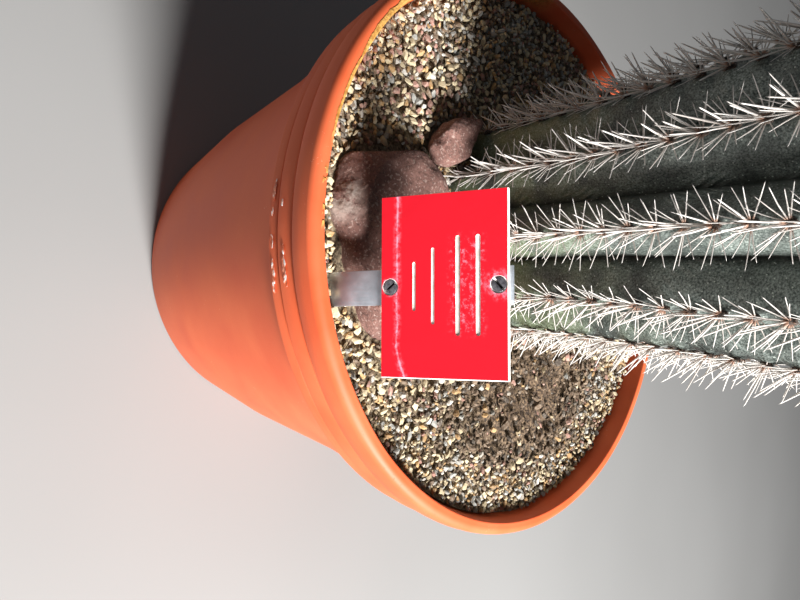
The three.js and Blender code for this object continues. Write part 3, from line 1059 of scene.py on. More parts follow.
@dataclass
class PhotoCamera:
    """A camera at the photograph's own angle, which lies on its side, with the plant's top to the right."""

    place_mm: Triple = (27.0, -322.3, 490.8)
    down_deg: float = 46.10
    roll_deg: float = -0.915
    focal_px: float = 660.0
    frame_px: float = 800.0

    def build(self) -> None:
        """Adds the camera, its picture's right along the plant's up."""
        down = math.radians(self.down_deg)
        roll = math.radians(self.roll_deg)
        forward = Vector((0, math.cos(down), -math.sin(down)))
        right = Vector((1, 0, 0))
        up = Vector((0, math.sin(down), math.cos(down)))
        across = right * math.cos(roll) + up * math.sin(roll)
        upward = up * math.cos(roll) - right * math.sin(roll)
        lens = bpy.data.cameras.new("photo_camera")
        lens.sensor_width = 36.0
        lens.lens = lens.sensor_width * self.focal_px / self.frame_px
        lens.clip_start = 0.01
        camera = bpy.data.objects.new("photo_camera", lens)
        turn = Matrix((upward, -across, -forward)).transposed().to_4x4()
        camera.matrix_world = Matrix.Translation(Vector(self.place_mm) * MM) @ turn
        bpy.context.scene.collection.objects.link(camera)
        bpy.context.scene.camera = camera


@dataclass(frozen=True)
class Lamp:
    """A flat lamp that looks at the plant. It stands some metres away, and its size is in metres too."""

    name: str
    way: Triple
    away: float
    size: Pair
    watts: float
    aim: Triple = (0.0, 0.0, 0.36)

    def build(self) -> None:
        """Adds the lamp."""
        aim = Vector(self.aim)
        light = bpy.data.lights.new(self.name, "AREA")
        light.shape = "RECTANGLE"
        light.size, light.size_y = self.size
        light.energy = self.watts
        lamp = bpy.data.objects.new(self.name, light)
        lamp.location = aim + Vector(self.way).normalized() * self.away
        lamp.rotation_euler = (aim - lamp.location).to_track_quat("-Z", "Y").to_euler()
        bpy.context.scene.collection.objects.link(lamp)


@dataclass
class Studio:
    """A pale floor, a key light from the right, and weak soft light from the front, the left and the sky."""

    floor_size: float = 8.0
    lamps: tuple[Lamp, ...] = (
        Lamp("key_light", (1.0, -0.24, 0.7), 1.8, (0.5, 0.5), 120.0),
        Lamp("front_light", (-0.1, -1.0, 0.15), 2.3, (1.7, 1.1), 2.5),
        Lamp("left_light", (-0.9, 0.5, 0.7), 2.0, (1.2, 1.2), 0.3),
    )
    sky: str = "#dce6f4"
    sky_strength: float = 0.085

    def build(self) -> None:
        """Adds the floor, the lamps and the sky."""
        deselect_all()
        bpy.ops.mesh.primitive_plane_add(size=self.floor_size)
        floor = bpy.context.object
        floor.name = "studio_floor"
        floor.data.materials.append(StudioPaint().material())
        for lamp in self.lamps:
            lamp.build()
        world = bpy.data.worlds.new("studio_sky")
        world.use_nodes = True
        sky = world.node_tree.nodes["Background"]
        feed(sky.inputs["Color"], self.sky)
        feed(sky.inputs["Strength"], self.sky_strength)
        bpy.context.scene.world = world
        bpy.context.scene.view_settings.view_transform = "Standard"


# The pot


@dataclass
class Pot:
    """The round plastic pot: a tapered body, a stepped collar and a rolled lip, with a drained floor.

    A tear is its angle in degrees, its height, its half length and its half width.
    """

    height: float = RIM_TOP
    rim_radius: float = 160.0
    base_radius: float = 112.0
    wall: float = 4.0
    floor: float = 5.0
    lip_height: float = 15.0
    step_below_rim: float = 30.0
    collar_height: float = 39.0
    drain_radius: float = 6.0
    drain_ring: float = 62.0
    drains: int = 4
    steps: int = 192
    tears: tuple[Quad, ...] = (
        (-99.6, 236.8, 3.2, 1.2),
        (-98.2, 236.2, 4.2, 1.7),
        (-95.2, 236.0, 2.2, 1.1),
        (-96.2, 245.5, 2.0, 1.2),
        (-90.2, 236.2, 3.4, 1.9),
        (-88.6, 247.0, 2.6, 1.0),
        (-85.2, 236.0, 6.0, 1.9),
        (-82.6, 235.4, 3.0, 1.4),
        (-85.8, 246.6, 5.4, 2.4),
        (-83.6, 247.6, 3.2, 1.6),
    )

    def inner_radius(self, z: float) -> float:
        """The inner radius of the wall at a height.

        Args:
            z: The height.

        Returns:
            The radius.
        """
        neck_z = self.height - self.collar_height
        neck = self.rim_radius - 14
        if z > neck_z:
            return neck + 6.5 * (z - neck_z) / self.collar_height
        foot = self.base_radius - self.wall
        return foot + (neck - foot) * (z - self.floor) / (neck_z - self.floor)

    def outline(self) -> list[Pair]:
        """The wall's section, from the middle of the underside round the lip to the middle of the floor.

        Returns:
            Its points as (radius, height).
        """
        rim, top = self.rim_radius, self.height
        lip_foot = top - self.lip_height
        step = top - self.step_below_rim
        collar_foot = top - self.collar_height
        return [
            (0, 0),
            (0.5 * self.base_radius, 0),
            (self.base_radius - 5, 0),
            *arc((self.base_radius - 4, 4), 4, -90, -10, 5),
            (self.base_radius + 14, 0.28 * top),
            (rim - 22, 0.62 * top),
            (rim - 10, collar_foot - 1.2),
            (rim - 6.5, collar_foot - 0.6),
            *arc((rim - 5.2, collar_foot + 1), 1.1, -60, 10, 4),
            (rim - 3.5, step - 2),
            (rim - 3.8, step - 0.9),
            (rim - 5.0, step - 0.3),
            (rim - 5.0, step + 0.3),
            (rim - 3.4, step + 0.8),
            (rim - 2.5, step + 1.6),
            (rim - 1.9, lip_foot - 3.2),
            (rim - 2.3, lip_foot - 2.3),
            (rim - 4.2, lip_foot - 1.6),
            (rim - 4.2, lip_foot - 0.9),
            *arc((rim - 2.2, lip_foot + 0.8), 1.5, -100, -8, 6),
            (rim - 0.3, lip_foot + 3.2),
            (rim, top - 9),
            (rim - 0.15, top - 7),
            *arc((rim - 4.6, top - 4.4), 4.4, 2, 88, 9),
            (rim - 6.0, top - 0.05),
            *arc((rim - 6.3, top - 1.1), 1.1, 90, 172, 4),
            (self.inner_radius(top - 4), top - 4),
            (self.inner_radius(top - 20), top - 20),
            (self.inner_radius(collar_foot), collar_foot),
            (self.inner_radius(0.5 * top), 0.5 * top),
            (self.inner_radius(0.2 * top), 0.2 * top),
            (self.inner_radius(self.floor + 4), self.floor + 4),
            *arc((self.inner_radius(self.floor) - 3.5, self.floor + 4), 4, 0, -90, 5),
            (0.5 * self.base_radius, self.floor),
            (0, self.floor),
        ]

    def shell(self) -> None:
        """Spins the wall, drills the drain holes, and lets the moulding run a little uneven."""
        piece = turned("pot_shell", self.outline(), self.steps)
        for index in range(self.drains):
            angle = 2 * math.pi * (index + 0.5) / self.drains
            place = Vector((math.cos(angle), math.sin(angle), 0)) * self.drain_ring
            cut(piece, rod(self.drain_radius, 4 * self.floor, place=place))
        roughen(piece, 70.0, 0.7)
        smooth(piece, 28.0)
        dress(piece, "pot_shell", MouldedPlastic(), "pot_plastic", "pot")

    def torn_flakes(self) -> None:
        """Models one curled flake, and lays copies of it where the collar has been torn."""
        random = np.random.default_rng(41)
        rows, columns = 9, 4
        along = np.linspace(-1, 1, rows)
        across = np.linspace(-1, 1, columns)
        grid = np.array([(a, c) for a in along for c in across])
        quads = [
            (i * columns + j, (i + 1) * columns + j, (i + 1) * columns + j + 1, i * columns + j + 1)
            for i in range(rows - 1)
            for j in range(columns - 1)
        ]
        points, faces = [], []
        for index, (angle_deg, base_z, length, width) in enumerate(self.tears):
            angle = math.radians(angle_deg)
            radius = self.rim_radius - (2.2 if base_z > self.height - self.step_below_rim else 3.6)
            ragged = 1 - 0.6 * random.random(len(grid))
            along_arc = grid[:, 0] * length * (0.8 + 0.2 * ragged)
            rise = grid[:, 1] * width * ragged * (1 - 0.7 * grid[:, 0] ** 2)
            lift = 0.35 + 0.9 * np.abs(grid[:, 1]) * ragged * random.uniform(0.3, 1.0)
            angles = angle + along_arc / radius
            out = radius + lift
            points.append(np.column_stack((out * np.cos(angles), out * np.sin(angles), base_z + rise)))
            faces.append(np.array(quads) + index * len(grid))
        piece = joined_mesh("pot_torn_flakes", np.vstack(points), np.vstack(faces))
        apply_modifier(piece, "SOLIDIFY", thickness=0.3 * MM, offset=0.0)
        apply_modifier(piece, "SUBSURF", levels=1, render_levels=1)
        smooth(piece, 60.0)
        dress(piece, "pot_torn_flakes", TornPlastic(), "pot_plastic", "pot")

    def build(self) -> None:
        """Makes the pot and its torn flakes."""
        self.shell()
        self.torn_flakes()


# The stem


@dataclass
class Stem:
    """The ribbed stem. A place on its crest is given by a rib and a station up it."""

    axis_x: float = -15.0
    axis_y: float = -3.0
    lean_x: float = 0.036
    lean_y: float = 0.018
    ribs: int = 12
    first_rib_deg: float = 9.6
    foot_radius: float = 61.0
    full_radius: float = 79.0
    full_at: float = 290.0
    dome_from: float = 320.0
    height: float = 400.0
    apex_radius: float = 9.0
    foot_depth: float = 12.0
    full_depth: float = 21.0
    depth_share: float = 0.3
    foot_sunk: float = 9.0
    shaft_stations: int = 16
    dome_stations: int = 6
    points_per_rib: int = 22
    row_step: float = 0.1
    skirt_station: float = -0.45
    tubercle: float = 1.1
    tubercle_reach: float = 0.2
    tubercle_width: float = 0.34
    dip_above: float = 0.27
    dip_reach: float = 0.11
    wander_deg: float = 0.45

    @property
    def top_station(self) -> float:
        """The station at the edge of the growing tip."""
        return self.shaft_stations + self.dome_stations

    def grown(self, height: Array) -> Array:
        """How far the stem has grown from its foot to its full size at some heights, from 0 to 1."""
        share = np.clip(height / self.full_at, 0, 1)
        return share * share * (3 - 2 * share)

    def crest(self, station: Array) -> tuple[Array, Array]:
        """The crest's radius and its height above the gravel at some stations.

        Args:
            station: The stations up the crest.

        Returns:
            The radii and the heights.
        """
        station = np.asarray(station, float)
        rise = self.dome_from * station / self.shaft_stations
        shaft = self.foot_radius + (self.full_radius - self.foot_radius) * self.grown(rise)
        last = math.acos(self.apex_radius / self.full_radius)
        angle = last * (station - self.shaft_stations) / self.dome_stations
        dome = self.full_radius * np.cos(angle)
        dome_height = self.dome_from + (self.height - self.dome_from) * np.sin(angle)
        on_shaft = station <= self.shaft_stations
        return np.where(on_shaft, shaft, dome), np.where(on_shaft, rise, dome_height)

    def axis(self, height: Array) -> Array:
        """The stem's axis at some heights above the gravel.

        Args:
            height: The heights.

        Returns:
            A point at each height.
        """
        height = np.asarray(height, float)
        x, y = self.axis_x + self.lean_x * height, self.axis_y + self.lean_y * height
        return np.stack((x, y, GRAVEL_TOP + height), -1)

    def crest_angle(self, rib: int, station: Array) -> Array:
        """A crest's angle about the axis, anticlockwise from +X, with the slight wander of a grown rib.

        Args:
            rib: Which rib.
            station: The stations up the crest.

        Returns:
            The angle at each station.
        """
        even = math.radians(self.first_rib_deg - 90) + 2 * math.pi * rib / self.ribs
        turn = rib % self.ribs
        return even + math.radians(self.wander_deg) * np.sin(0.8 * np.asarray(station) + 2.1 * turn)

    def rib_depth(self, radius: Array, height: Array) -> Array:
        """How far the valleys lie inside the crests.

        Args:
            radius: The crests' radii.
            height: Their heights.

        Returns:
            The depths.
        """
        depth = self.foot_depth + (self.full_depth - self.foot_depth) * self.grown(height)
        return np.minimum(depth, self.depth_share * radius)

    def areoles(self, rib: int) -> Array:
        """The stations of a rib's areoles: close low down, widest at mid height, crowded at the tip.

        Args:
            rib: Which rib.

        Returns:
            The stations in order.
        """
        random = np.random.default_rng(300 + rib % self.ribs)
        station = 0.3 + 0.5 * random.random()
        found = []
        while station < self.top_station - 0.9:
            found.append(station)
            pitch = np.interp(station, [0, 4, 10, 16, 22], [0.54, 0.57, 0.62, 0.58, 0.34])
            station += float(pitch) * random.uniform(0.94, 1.06)
        return np.array(found)

    def crest_bumps(self, rib: int, station: Array) -> Array:
        """How far a crest swells at its areoles and dips just above each of them, in millimetres.

        Args:
            rib: Which rib.
            station: The stations up the crest.

        Returns:
            The swelling at each station.
        """
        apart = np.asarray(station, float)[..., None] - self.areoles(rib)
        swelling = np.exp(-((apart / self.tubercle_reach) ** 2)).sum(-1)
        dip = np.exp(-(((apart - self.dip_above) / self.dip_reach) ** 2)).sum(-1)
        return self.tubercle * (swelling - 0.55 * dip - 0.45)

    def frame(self, rib: int, station: float) -> tuple[Array, Array, Array, Array]:
        """A frame on a rib's crest.

        Args:
            rib: Which rib.
            station: How far up it.

        Returns:
            Its place, and the ways out of the stem, up the rib and sideways.
        """
        around = station + np.array([-0.5, 0.0, 0.5])
        (below, radius, above), (low, height, high) = self.crest(around)
        angle = float(self.crest_angle(rib, station))
        outward = np.array([math.cos(angle), math.sin(angle), 0])
        place = self.axis(height) + outward * (radius + float(self.crest_bumps(rib, station)))
        along = outward * (above - below) + UP * (high - low)
        along /= np.linalg.norm(along)
        side = np.cross(UP, outward)
        return place, np.cross(side, along), along, side

    def foot_reach(self, angle: Array) -> Array:
        """The radius of the stem's ribbed foot at some angles about its axis.

        Args:
            angle: The angles.

        Returns:
            The radius at each angle.
        """
        share = (angle - self.crest_angle(0, 0)) / (2 * math.pi / self.ribs)
        from_crest = 2 * np.abs(share - np.round(share))
        return self.foot_radius - self.foot_depth * (1 - np.cos(from_crest * math.pi / 2))

    def build(self) -> None:
        """Wraps a grid round the axis, with rounded crests, swellings at the areoles and creased valleys."""
        rows = np.arange(0, self.top_station + 0.001, self.row_step)
        stations = np.append(self.skirt_station, rows)
        radius, height = self.crest(np.maximum(stations, 0))
        height = np.where(stations < 0, -self.foot_sunk, height)
        depth = self.rib_depth(radius, height)
        columns = self.ribs * self.points_per_rib
        deselect_all()
        bpy.ops.mesh.primitive_grid_add(x_subdivisions=columns, y_subdivisions=len(stations) - 1, size=1)
        piece = bpy.context.object
        count = columns + 1
        points = np.zeros((len(stations), count, 3))
        marks = np.zeros((len(stations), count))
        centre = self.axis(height)
        for column in range(count):
            rib, step = divmod(column, self.points_per_rib)
            share = step / self.points_per_rib
            from_crest = 2 * share if share <= 0.5 else 2 * (1 - share)
            here, after = self.crest_angle(rib, stations), self.crest_angle(rib + 1, stations)
            angle = (1 - share) * here + share * after
            nearest = rib if share <= 0.5 else rib + 1
            bumps = self.crest_bumps(nearest, stations) * math.exp(-((from_crest / self.tubercle_width) ** 2))
            valley = depth * (1 - math.cos(from_crest * math.pi / 2))
            reach = radius - valley + bumps * np.clip(stations + 0.5, 0, 1)
            points[:, column] = centre
            points[:, column, 0] += reach * np.cos(angle)
            points[:, column, 1] += reach * np.sin(angle)
            marks[:, column] = from_crest
        mesh = piece.data
        set_points(mesh, points)
        mark_points(mesh, from_crest=marks, height_mm=np.repeat(height, count))
        mesh.update()
        with edit_mode(piece):
            close_seams()
            bpy.ops.mesh.select_all(action="DESELECT")
            bpy.ops.mesh.select_non_manifold()
            bpy.ops.mesh.edge_face_add()
            close_seams()
        roughen(piece, 34.0, 1.2)
        smooth(piece, 60.0)
        dress(piece, "stem_skin", WaxySkin(), "cactus_skin", "stem")


# The stones at the foot


@dataclass
class Rock:
    """One stone, set into the gravel: a blocky body with split faces."""

    node: str
    x: float
    y: float
    top: float
    half: Triple
    turn: float
    dip: float
    seed: int
    notch: float = 0.0
    bed: float = 0.5
    facets: int = 22
    blockiness: float = 0.7
    subdivisions: int = 7
    taper: float = 0.0
    slim: float = 1.0

    def place(self) -> Matrix:
        """Where the stone's own frame goes, in millimetres.

        Returns:
            The place.
        """
        up = GRAVEL_TOP + self.top - self.half[2]
        turn = Matrix.Rotation(math.radians(self.turn), 4, "Z")
        dip = Matrix.Rotation(math.radians(self.dip), 4, "X")
        return Matrix.Translation((self.x, self.y, up)) @ dip @ turn

    def covers(self, points: Array, clearance: float) -> Array:
        """Whether points lie in the stone, or nearer to it than a clearance.

        Args:
            points: The points.
            clearance: How near they may come.

        Returns:
            Whether, for each point.
        """
        back = np.array(self.place().inverted())
        local = points @ back[:3, :3].T + back[:3, 3]
        share = np.abs(local / (np.array(self.half) + clearance)) ** (2 / self.blockiness)
        return share.sum(-1) < 1

    def build(self) -> None:
        """Shapes a ball into the stone, splits faces off it, and weathers them."""
        deselect_all()
        bpy.ops.mesh.primitive_ico_sphere_add(subdivisions=self.subdivisions, radius=1)
        piece = bpy.context.object
        piece.name = self.node
        random = np.random.default_rng(self.seed)
        points = np.zeros(len(piece.data.vertices) * 3, np.float32)
        piece.data.vertices.foreach_get("co", points)
        points = points.reshape(-1, 3).astype(float)
        points = np.sign(points) * np.abs(points) ** self.blockiness
        for _ in range(self.facets):
            normal = random.normal(size=3)
            normal /= np.linalg.norm(normal)
            reach = (points @ normal).max() * random.uniform(0.9, 0.985)
            over = np.maximum(points @ normal - reach, 0)
            points -= over[:, None] * normal
        points *= np.array(self.half) / np.abs(points).max(0) * 0.985
        beside = np.clip((points[:, 0] / self.half[0] + 0.45) / 0.4, 0, 1)
        points[:, 1] += self.notch * beside * np.clip(-points[:, 1] / self.half[1], 0, 1)
        points[:, 1] *= self.slim - self.taper * np.clip(points[:, 0] / self.half[0], -0.2, 1)
        layers = 2.6 * np.sin(0.16 * points[:, 0] + 0.33 * points[:, 1])
        top = self.bed * self.half[2] + layers * 0.4
        points[:, 2] = np.where(points[:, 2] > top, top + 0.35 * (points[:, 2] - top), points[:, 2])
        set_points(piece.data, points)
        piece.data.update()
        apply_modifier(piece, "SMOOTH", factor=0.5, iterations=4)
        for grain, depth in ((15.0, 2.8), (5.0, 1.0), (1.6, 0.25)):
            roughen(piece, grain, depth)
        place = self.place()
        place.translation *= MM
        settle(piece, place)
        smooth(piece, 70.0)
        dress(piece, f"{self.node}_rock", MauveRock(), "stone", self.node)


SLAB = Rock("stone_slab", 0.5, -103.5, 18.0, (48.5, 36.0, 16.0), 9.0, 7.0, 5, notch=6.0, bed=0.8)
LOBE = Rock(
    "stone_lobe", -56.5, -63.0, 22.0, (20.0, 11.0, 13.0), 125.0, -4.0, 11,
    bed=0.2, taper=0.6, slim=0.84, subdivisions=6,
)


# The spines


@dataclass(frozen=True)
class NeedleForm:
    """The form of a spine or a hair: its sides, and its width at some shares of its length."""

    sides: int
    shares: tuple[float, ...]
    widths: tuple[float, ...]

    def arrays(self, roots: Array, tips: Array, radii: Array, bend: Array | float = 0.0) -> tuple[Array, ...]:
        """Many spines or hairs as arrays, each closed.

        Args:
            roots: Where they start.
            tips: Where they end.
            radii: How thick each is.
            bend: How far each bows at its middle.

        Returns:
            The points, the triangles, and how far along its spine each point lies.
        """
        way = tips - roots
        way /= np.linalg.norm(way, axis=1)[:, None]
        first = np.cross(way, np.where(np.abs(way[:, 2:]) < 0.9, UP, [1.0, 0.0, 0.0]))
        first /= np.linalg.norm(first, axis=1)[:, None]
        second = np.cross(way, first)
        angles = (2 * math.pi * np.arange(self.sides) / self.sides)[None, :, None]
        spokes = first[:, None] * np.cos(angles) + second[:, None] * np.sin(angles)
        rings = []
        for share, width in zip(self.shares, self.widths):
            middle = roots + (tips - roots) * share + bend * (4 * share * (1 - share))
            rings.append(middle[:, None] + spokes * (radii * width)[:, None, None])
        points = np.concatenate([*rings, tips[:, None]], axis=1)
        along = np.append(np.repeat(self.shares, self.sides), 1.0)
        last = (len(self.shares) - 1) * self.sides
        end = last + self.sides
        faces = tube_faces(len(self.shares), self.sides)
        faces += [(last + side, last + (side + 1) % self.sides, end) for side in range(self.sides)]
        faces += [(0, side + 1, side) for side in range(1, self.sides - 1)]
        faces = np.array(faces) + np.arange(len(roots))[:, None, None] * (end + 1)
        return points.reshape(-1, 3), faces.reshape(-1, 3), np.tile(along, len(roots))


SPINE = NeedleForm(5, (0.0, 0.07, 0.5, 0.92), (0.9, 1.15, 0.95, 0.58))
HAIR = NeedleForm(3, (0.0,), (1.0,))


@dataclass(frozen=True)
class SpineKind:
    """One group of spines on an areole, by the rule of the plain rows.

    Lean is counted from the way out of the stem, and turn from sideways, anticlockwise.
    """

    count: int
    lean: Pair
    turn: Pair
    length: Pair
    radius: float


@dataclass
class SpineRows:
    """The spines and felt of every rib."""

    stem: Stem
    rocks: tuple[Rock, ...] = (SLAB, LOBE)
    sector_deg: float = 14.2
    clear_of_axis: float = 12.0
    clear_of_ground: float = 2.0
    clear_of_rock: float = 1.5
    tries: int = 5
    shortening: float = 0.86
    pad: Triple = (1.9, 2.6, 1.3)
    hairs: int = 26
    hair_radius: float = 0.11
    cushion: Triple = (8.6, 8.6, 4.6)
    cushion_edge: float = 8.7
    crown_hairs: int = 420
    crown_hair_radius: float = 0.13
    crown_hair_reach: float = 8.2
    crown_hair_rise: float = 4.2
    crown_spines: int = 110
    crown_spine_radius: float = 0.3
    crown_spine_reach: float = 7.4
    crown_spine_rise: float = 3.6
    golden_turn: float = 0.618
    kinds: tuple[SpineKind, ...] = (
        SpineKind(5, (56, 82), (-70, 32), (12, 17), 0.26),
        SpineKind(5, (56, 82), (148, 250), (12, 17), 0.26),
        SpineKind(2, (64, 82), (-104, -76), (15, 19), 0.3),
        SpineKind(1, (50, 74), (72, 108), (8, 11), 0.25),
        SpineKind(2, (30, 48), (-165, -15), (14, 18), 0.36),
        SpineKind(1, (10, 32), (-130, -50), (15, 20), 0.43),
        SpineKind(1, (46, 62), (-106, -74), (18, 24), 0.46),
    )

    def allowed(self, rib: int, root: Array, tip: Array) -> bool:
        """Whether a spine keeps to its rib's sector, clear of the growing tip, the gravel and the stones.

        Args:
            rib: Which rib.
            root: Where the spine starts.
            tip: Where it ends.

        Returns:
            Whether it does.
        """
        centre = self.stem.axis(tip[2] - GRAVEL_TOP)
        off = tip - centre
        angle = math.atan2(off[1], off[0]) - float(self.stem.crest_angle(rib, 0))
        wrapped = math.atan2(math.sin(angle), math.cos(angle))
        over_axis = math.hypot(off[0], off[1]) < self.clear_of_axis
        if over_axis or abs(wrapped) > math.radians(self.sector_deg):
            return False
        samples = np.array([root + (tip - root) * share for share in (0.4, 0.7, 1.0)])
        if samples[:, 2].min() < GRAVEL_TOP + self.clear_of_ground:
            return False
        return not any(rock.covers(samples, self.clear_of_rock).any() for rock in self.rocks)

    def areole_spines(self, rib: int, station: float, random: Random) -> list[tuple]:
        """The spines of one areole, each shortened until it keeps to its own space.

        Args:
            rib: Which rib.
            station: How far up it.
            random: The seeded source of scatter.

        Returns:
            A root, a tip and a radius for each spine.
        """
        place, out, along, side = self.stem.frame(rib, station)
        young = float(np.interp(station, [0, 3, 17, 21], [0.78, 1.0, 1.0, 0.75]))
        found = []
        for kind in self.kinds:
            for index in range(kind.count):
                share = (index + random.uniform(0.15, 0.85)) / kind.count
                turn = math.radians(kind.turn[0] + (kind.turn[1] - kind.turn[0]) * share)
                lean = math.radians(random.uniform(*kind.lean))
                flat = side * math.cos(turn) + along * math.sin(turn)
                way = out * math.cos(lean) + flat * math.sin(lean)
                root = place + out * 0.5 + flat * random.uniform(0.3, 1.1)
                length = young * random.uniform(*kind.length)
                for _ in range(self.tries):
                    if self.allowed(rib, root, root + way * length):
                        thickness = kind.radius * random.uniform(0.85, 1.15)
                        found.append((root, root + way * length, thickness))
                        break
                    length *= self.shortening
        return found

    def row(self, rib: int) -> None:
        """Makes one rib's spines, and the felt pads that they grow from.

        Args:
            rib: Which rib.
        """
        random = np.random.default_rng(700 + rib)
        node = f"spines_rib_{rib + 1:02d}"
        stations = self.stem.areoles(rib)
        spines = [spine for station in stations for spine in self.areole_spines(rib, station, random)]
        roots, tips, radii = (np.array(column) for column in zip(*spines))
        bend = random.normal(scale=0.18, size=roots.shape)
        arrays = SPINE.arrays(roots, tips, radii, bend)
        self.spines(f"spines_{rib + 1:02d}", node, arrays, random.uniform(0, 0.55, len(roots)) ** 2)
        self.felt(rib, stations, random, node)

    @staticmethod
    def spines(name: str, node: str, arrays: tuple[Array, ...], shades: Array) -> None:
        """Makes one piece of many spines.

        Args:
            name: The piece's name.
            node: The plain node that it replaces.
            arrays: The spines' points, triangles and places along them.
            shades: Each spine's own shade.
        """
        points, faces, along = arrays
        shade = np.repeat(shades, len(points) // len(shades))
        piece = joined_mesh(name, points, faces, along=along, shade=shade)
        smooth(piece, 80.0)
        dress(piece, name, BonySpine(), "spines", node)

    @staticmethod
    def felted(name: str, node: str, pads: Array, pad_faces: Array, hairs: tuple[Array, ...]) -> None:
        """Makes one piece of felt pads and their hairs.

        Args:
            name: The piece's name.
            node: The plain node that it replaces.
            pads: The pads' points.
            pad_faces: The pads' triangles.
            hairs: The hairs' points, triangles and places along them.
        """
        piece = joined_mesh(name, pads, pad_faces)
        smooth(piece, 80.0)
        join(piece, joined_mesh(f"{name}_fuzz", *hairs[:2]))
        dress(piece, name, AreoleFelt(), "spines", node)

    def felt(self, rib: int, stations: Array, random: Random, node: str) -> None:
        """Copies one rough felt pad to each areole, with short hairs round it.

        Args:
            rib: Which rib.
            stations: Where its areoles are.
            random: The seeded source of scatter.
            node: The plain row that the felt belongs to.
        """
        ball, triangles = unit_ball(2)
        pads, pad_faces, roots, tips = [], [], [], []
        for index, station in enumerate(stations):
            place, out, along, side = self.stem.frame(rib, float(station))
            lumps = 1 + 0.16 * random.normal(size=(len(ball), 1))
            local = ball * lumps * np.array(self.pad) * random.uniform(0.85, 1.1)
            axes = np.stack((side, along, out))
            pads.append(place + local @ axes)
            pad_faces.append(triangles + index * len(ball))
            turns = random.uniform(0, 2 * math.pi, self.hairs)
            flat = np.cos(turns)[:, None] * side + np.sin(turns)[:, None] * along
            lift = random.uniform(0.2, 1.2, (self.hairs, 1))
            start = place + flat * random.uniform(0.2, 1.7, (self.hairs, 1)) + out * 0.4
            roots.append(start)
            tips.append(start + (flat + out * lift) * random.uniform(0.9, 2.0, (self.hairs, 1)))
        roots, tips = np.vstack(roots), np.vstack(tips)
        hairs = HAIR.arrays(roots, tips, np.full(len(roots), self.hair_radius))
        self.felted(f"areoles_{rib + 1:02d}", node, np.vstack(pads), np.vstack(pad_faces), hairs)

    def on_cushion(self, turns: Array, reach: Array, rise: float) -> tuple[Array, Array]:
        """Places on the growing tip.

        Args:
            turns: How far round each is.
            reach: How far from the middle each is.
            rise: How high the middle lies over the edge.

        Returns:
            The level way out at each place, and the place itself from the middle of the cushion's foot.
        """
        flat = np.stack((np.cos(turns), np.sin(turns), 0 * turns), -1)
        height = 0.5 + rise * np.sqrt(1 - (reach / self.cushion_edge) ** 2)
        return flat, flat * reach[:, None] + UP * height[:, None]

    def crown(self) -> None:
        """Makes the growing tip: a felted cushion, with crowded young spines that lean out over it."""
        random = np.random.default_rng(901)
        _, height = self.stem.crest(np.array([self.stem.top_station]))
        base = self.stem.axis(height)[0]
        ball, triangles = unit_ball(4)
        lumps = 1 + 0.1 * random.normal(size=(len(ball), 1))
        cushion = base + UP * 0.5 + ball * lumps * np.array(self.cushion)
        count = self.crown_hairs
        turns = random.uniform(0, 2 * math.pi, count)
        reach = self.crown_hair_reach * np.sqrt(random.random(count))
        flat, place = self.on_cushion(turns, reach, self.crown_hair_rise)
        start = base + place
        way = flat * (0.25 + reach / 7)[:, None] + UP + random.normal(scale=0.3, size=flat.shape)
        tips = start + way * random.uniform(1.2, 2.8, (count, 1))
        hairs = HAIR.arrays(start, tips, np.full(count, self.crown_hair_radius))
        self.felted("crown_felt", "crown_wool", cushion, triangles, hairs)
        count = self.crown_spines
        turns = 2 * math.pi * np.arange(count) * self.golden_turn + random.normal(scale=0.1, size=count)
        share = np.sqrt((np.arange(count) + 0.5) / count)
        reach = self.crown_spine_reach * share
        flat, place = self.on_cushion(turns, reach, self.crown_spine_rise)
        start = base + place
        lean = np.radians(8 + 44 * share + random.normal(scale=7, size=count))[:, None]
        tips = start + (flat * np.sin(lean) + UP * np.cos(lean)) * random.uniform(8.0, 13.0, (count, 1))
        bend = random.normal(scale=0.2, size=start.shape)
        arrays = SPINE.arrays(start, tips, np.full(count, self.crown_spine_radius), bend)
        self.spines("crown_spines", "crown_wool", arrays, random.uniform(0.1, 0.6, count))

    def build(self) -> None:
        """Makes every row, and the growing tip."""
        for rib in range(self.stem.ribs):
            self.row(rib)
        self.crown()


# The gravel


@dataclass(frozen=True)
class StoneSize:
    """One class of stone in the gravel: how many there are, how large, and how fine their meshes are."""

    count: int
    low: float
    high: float
    subdivisions: int


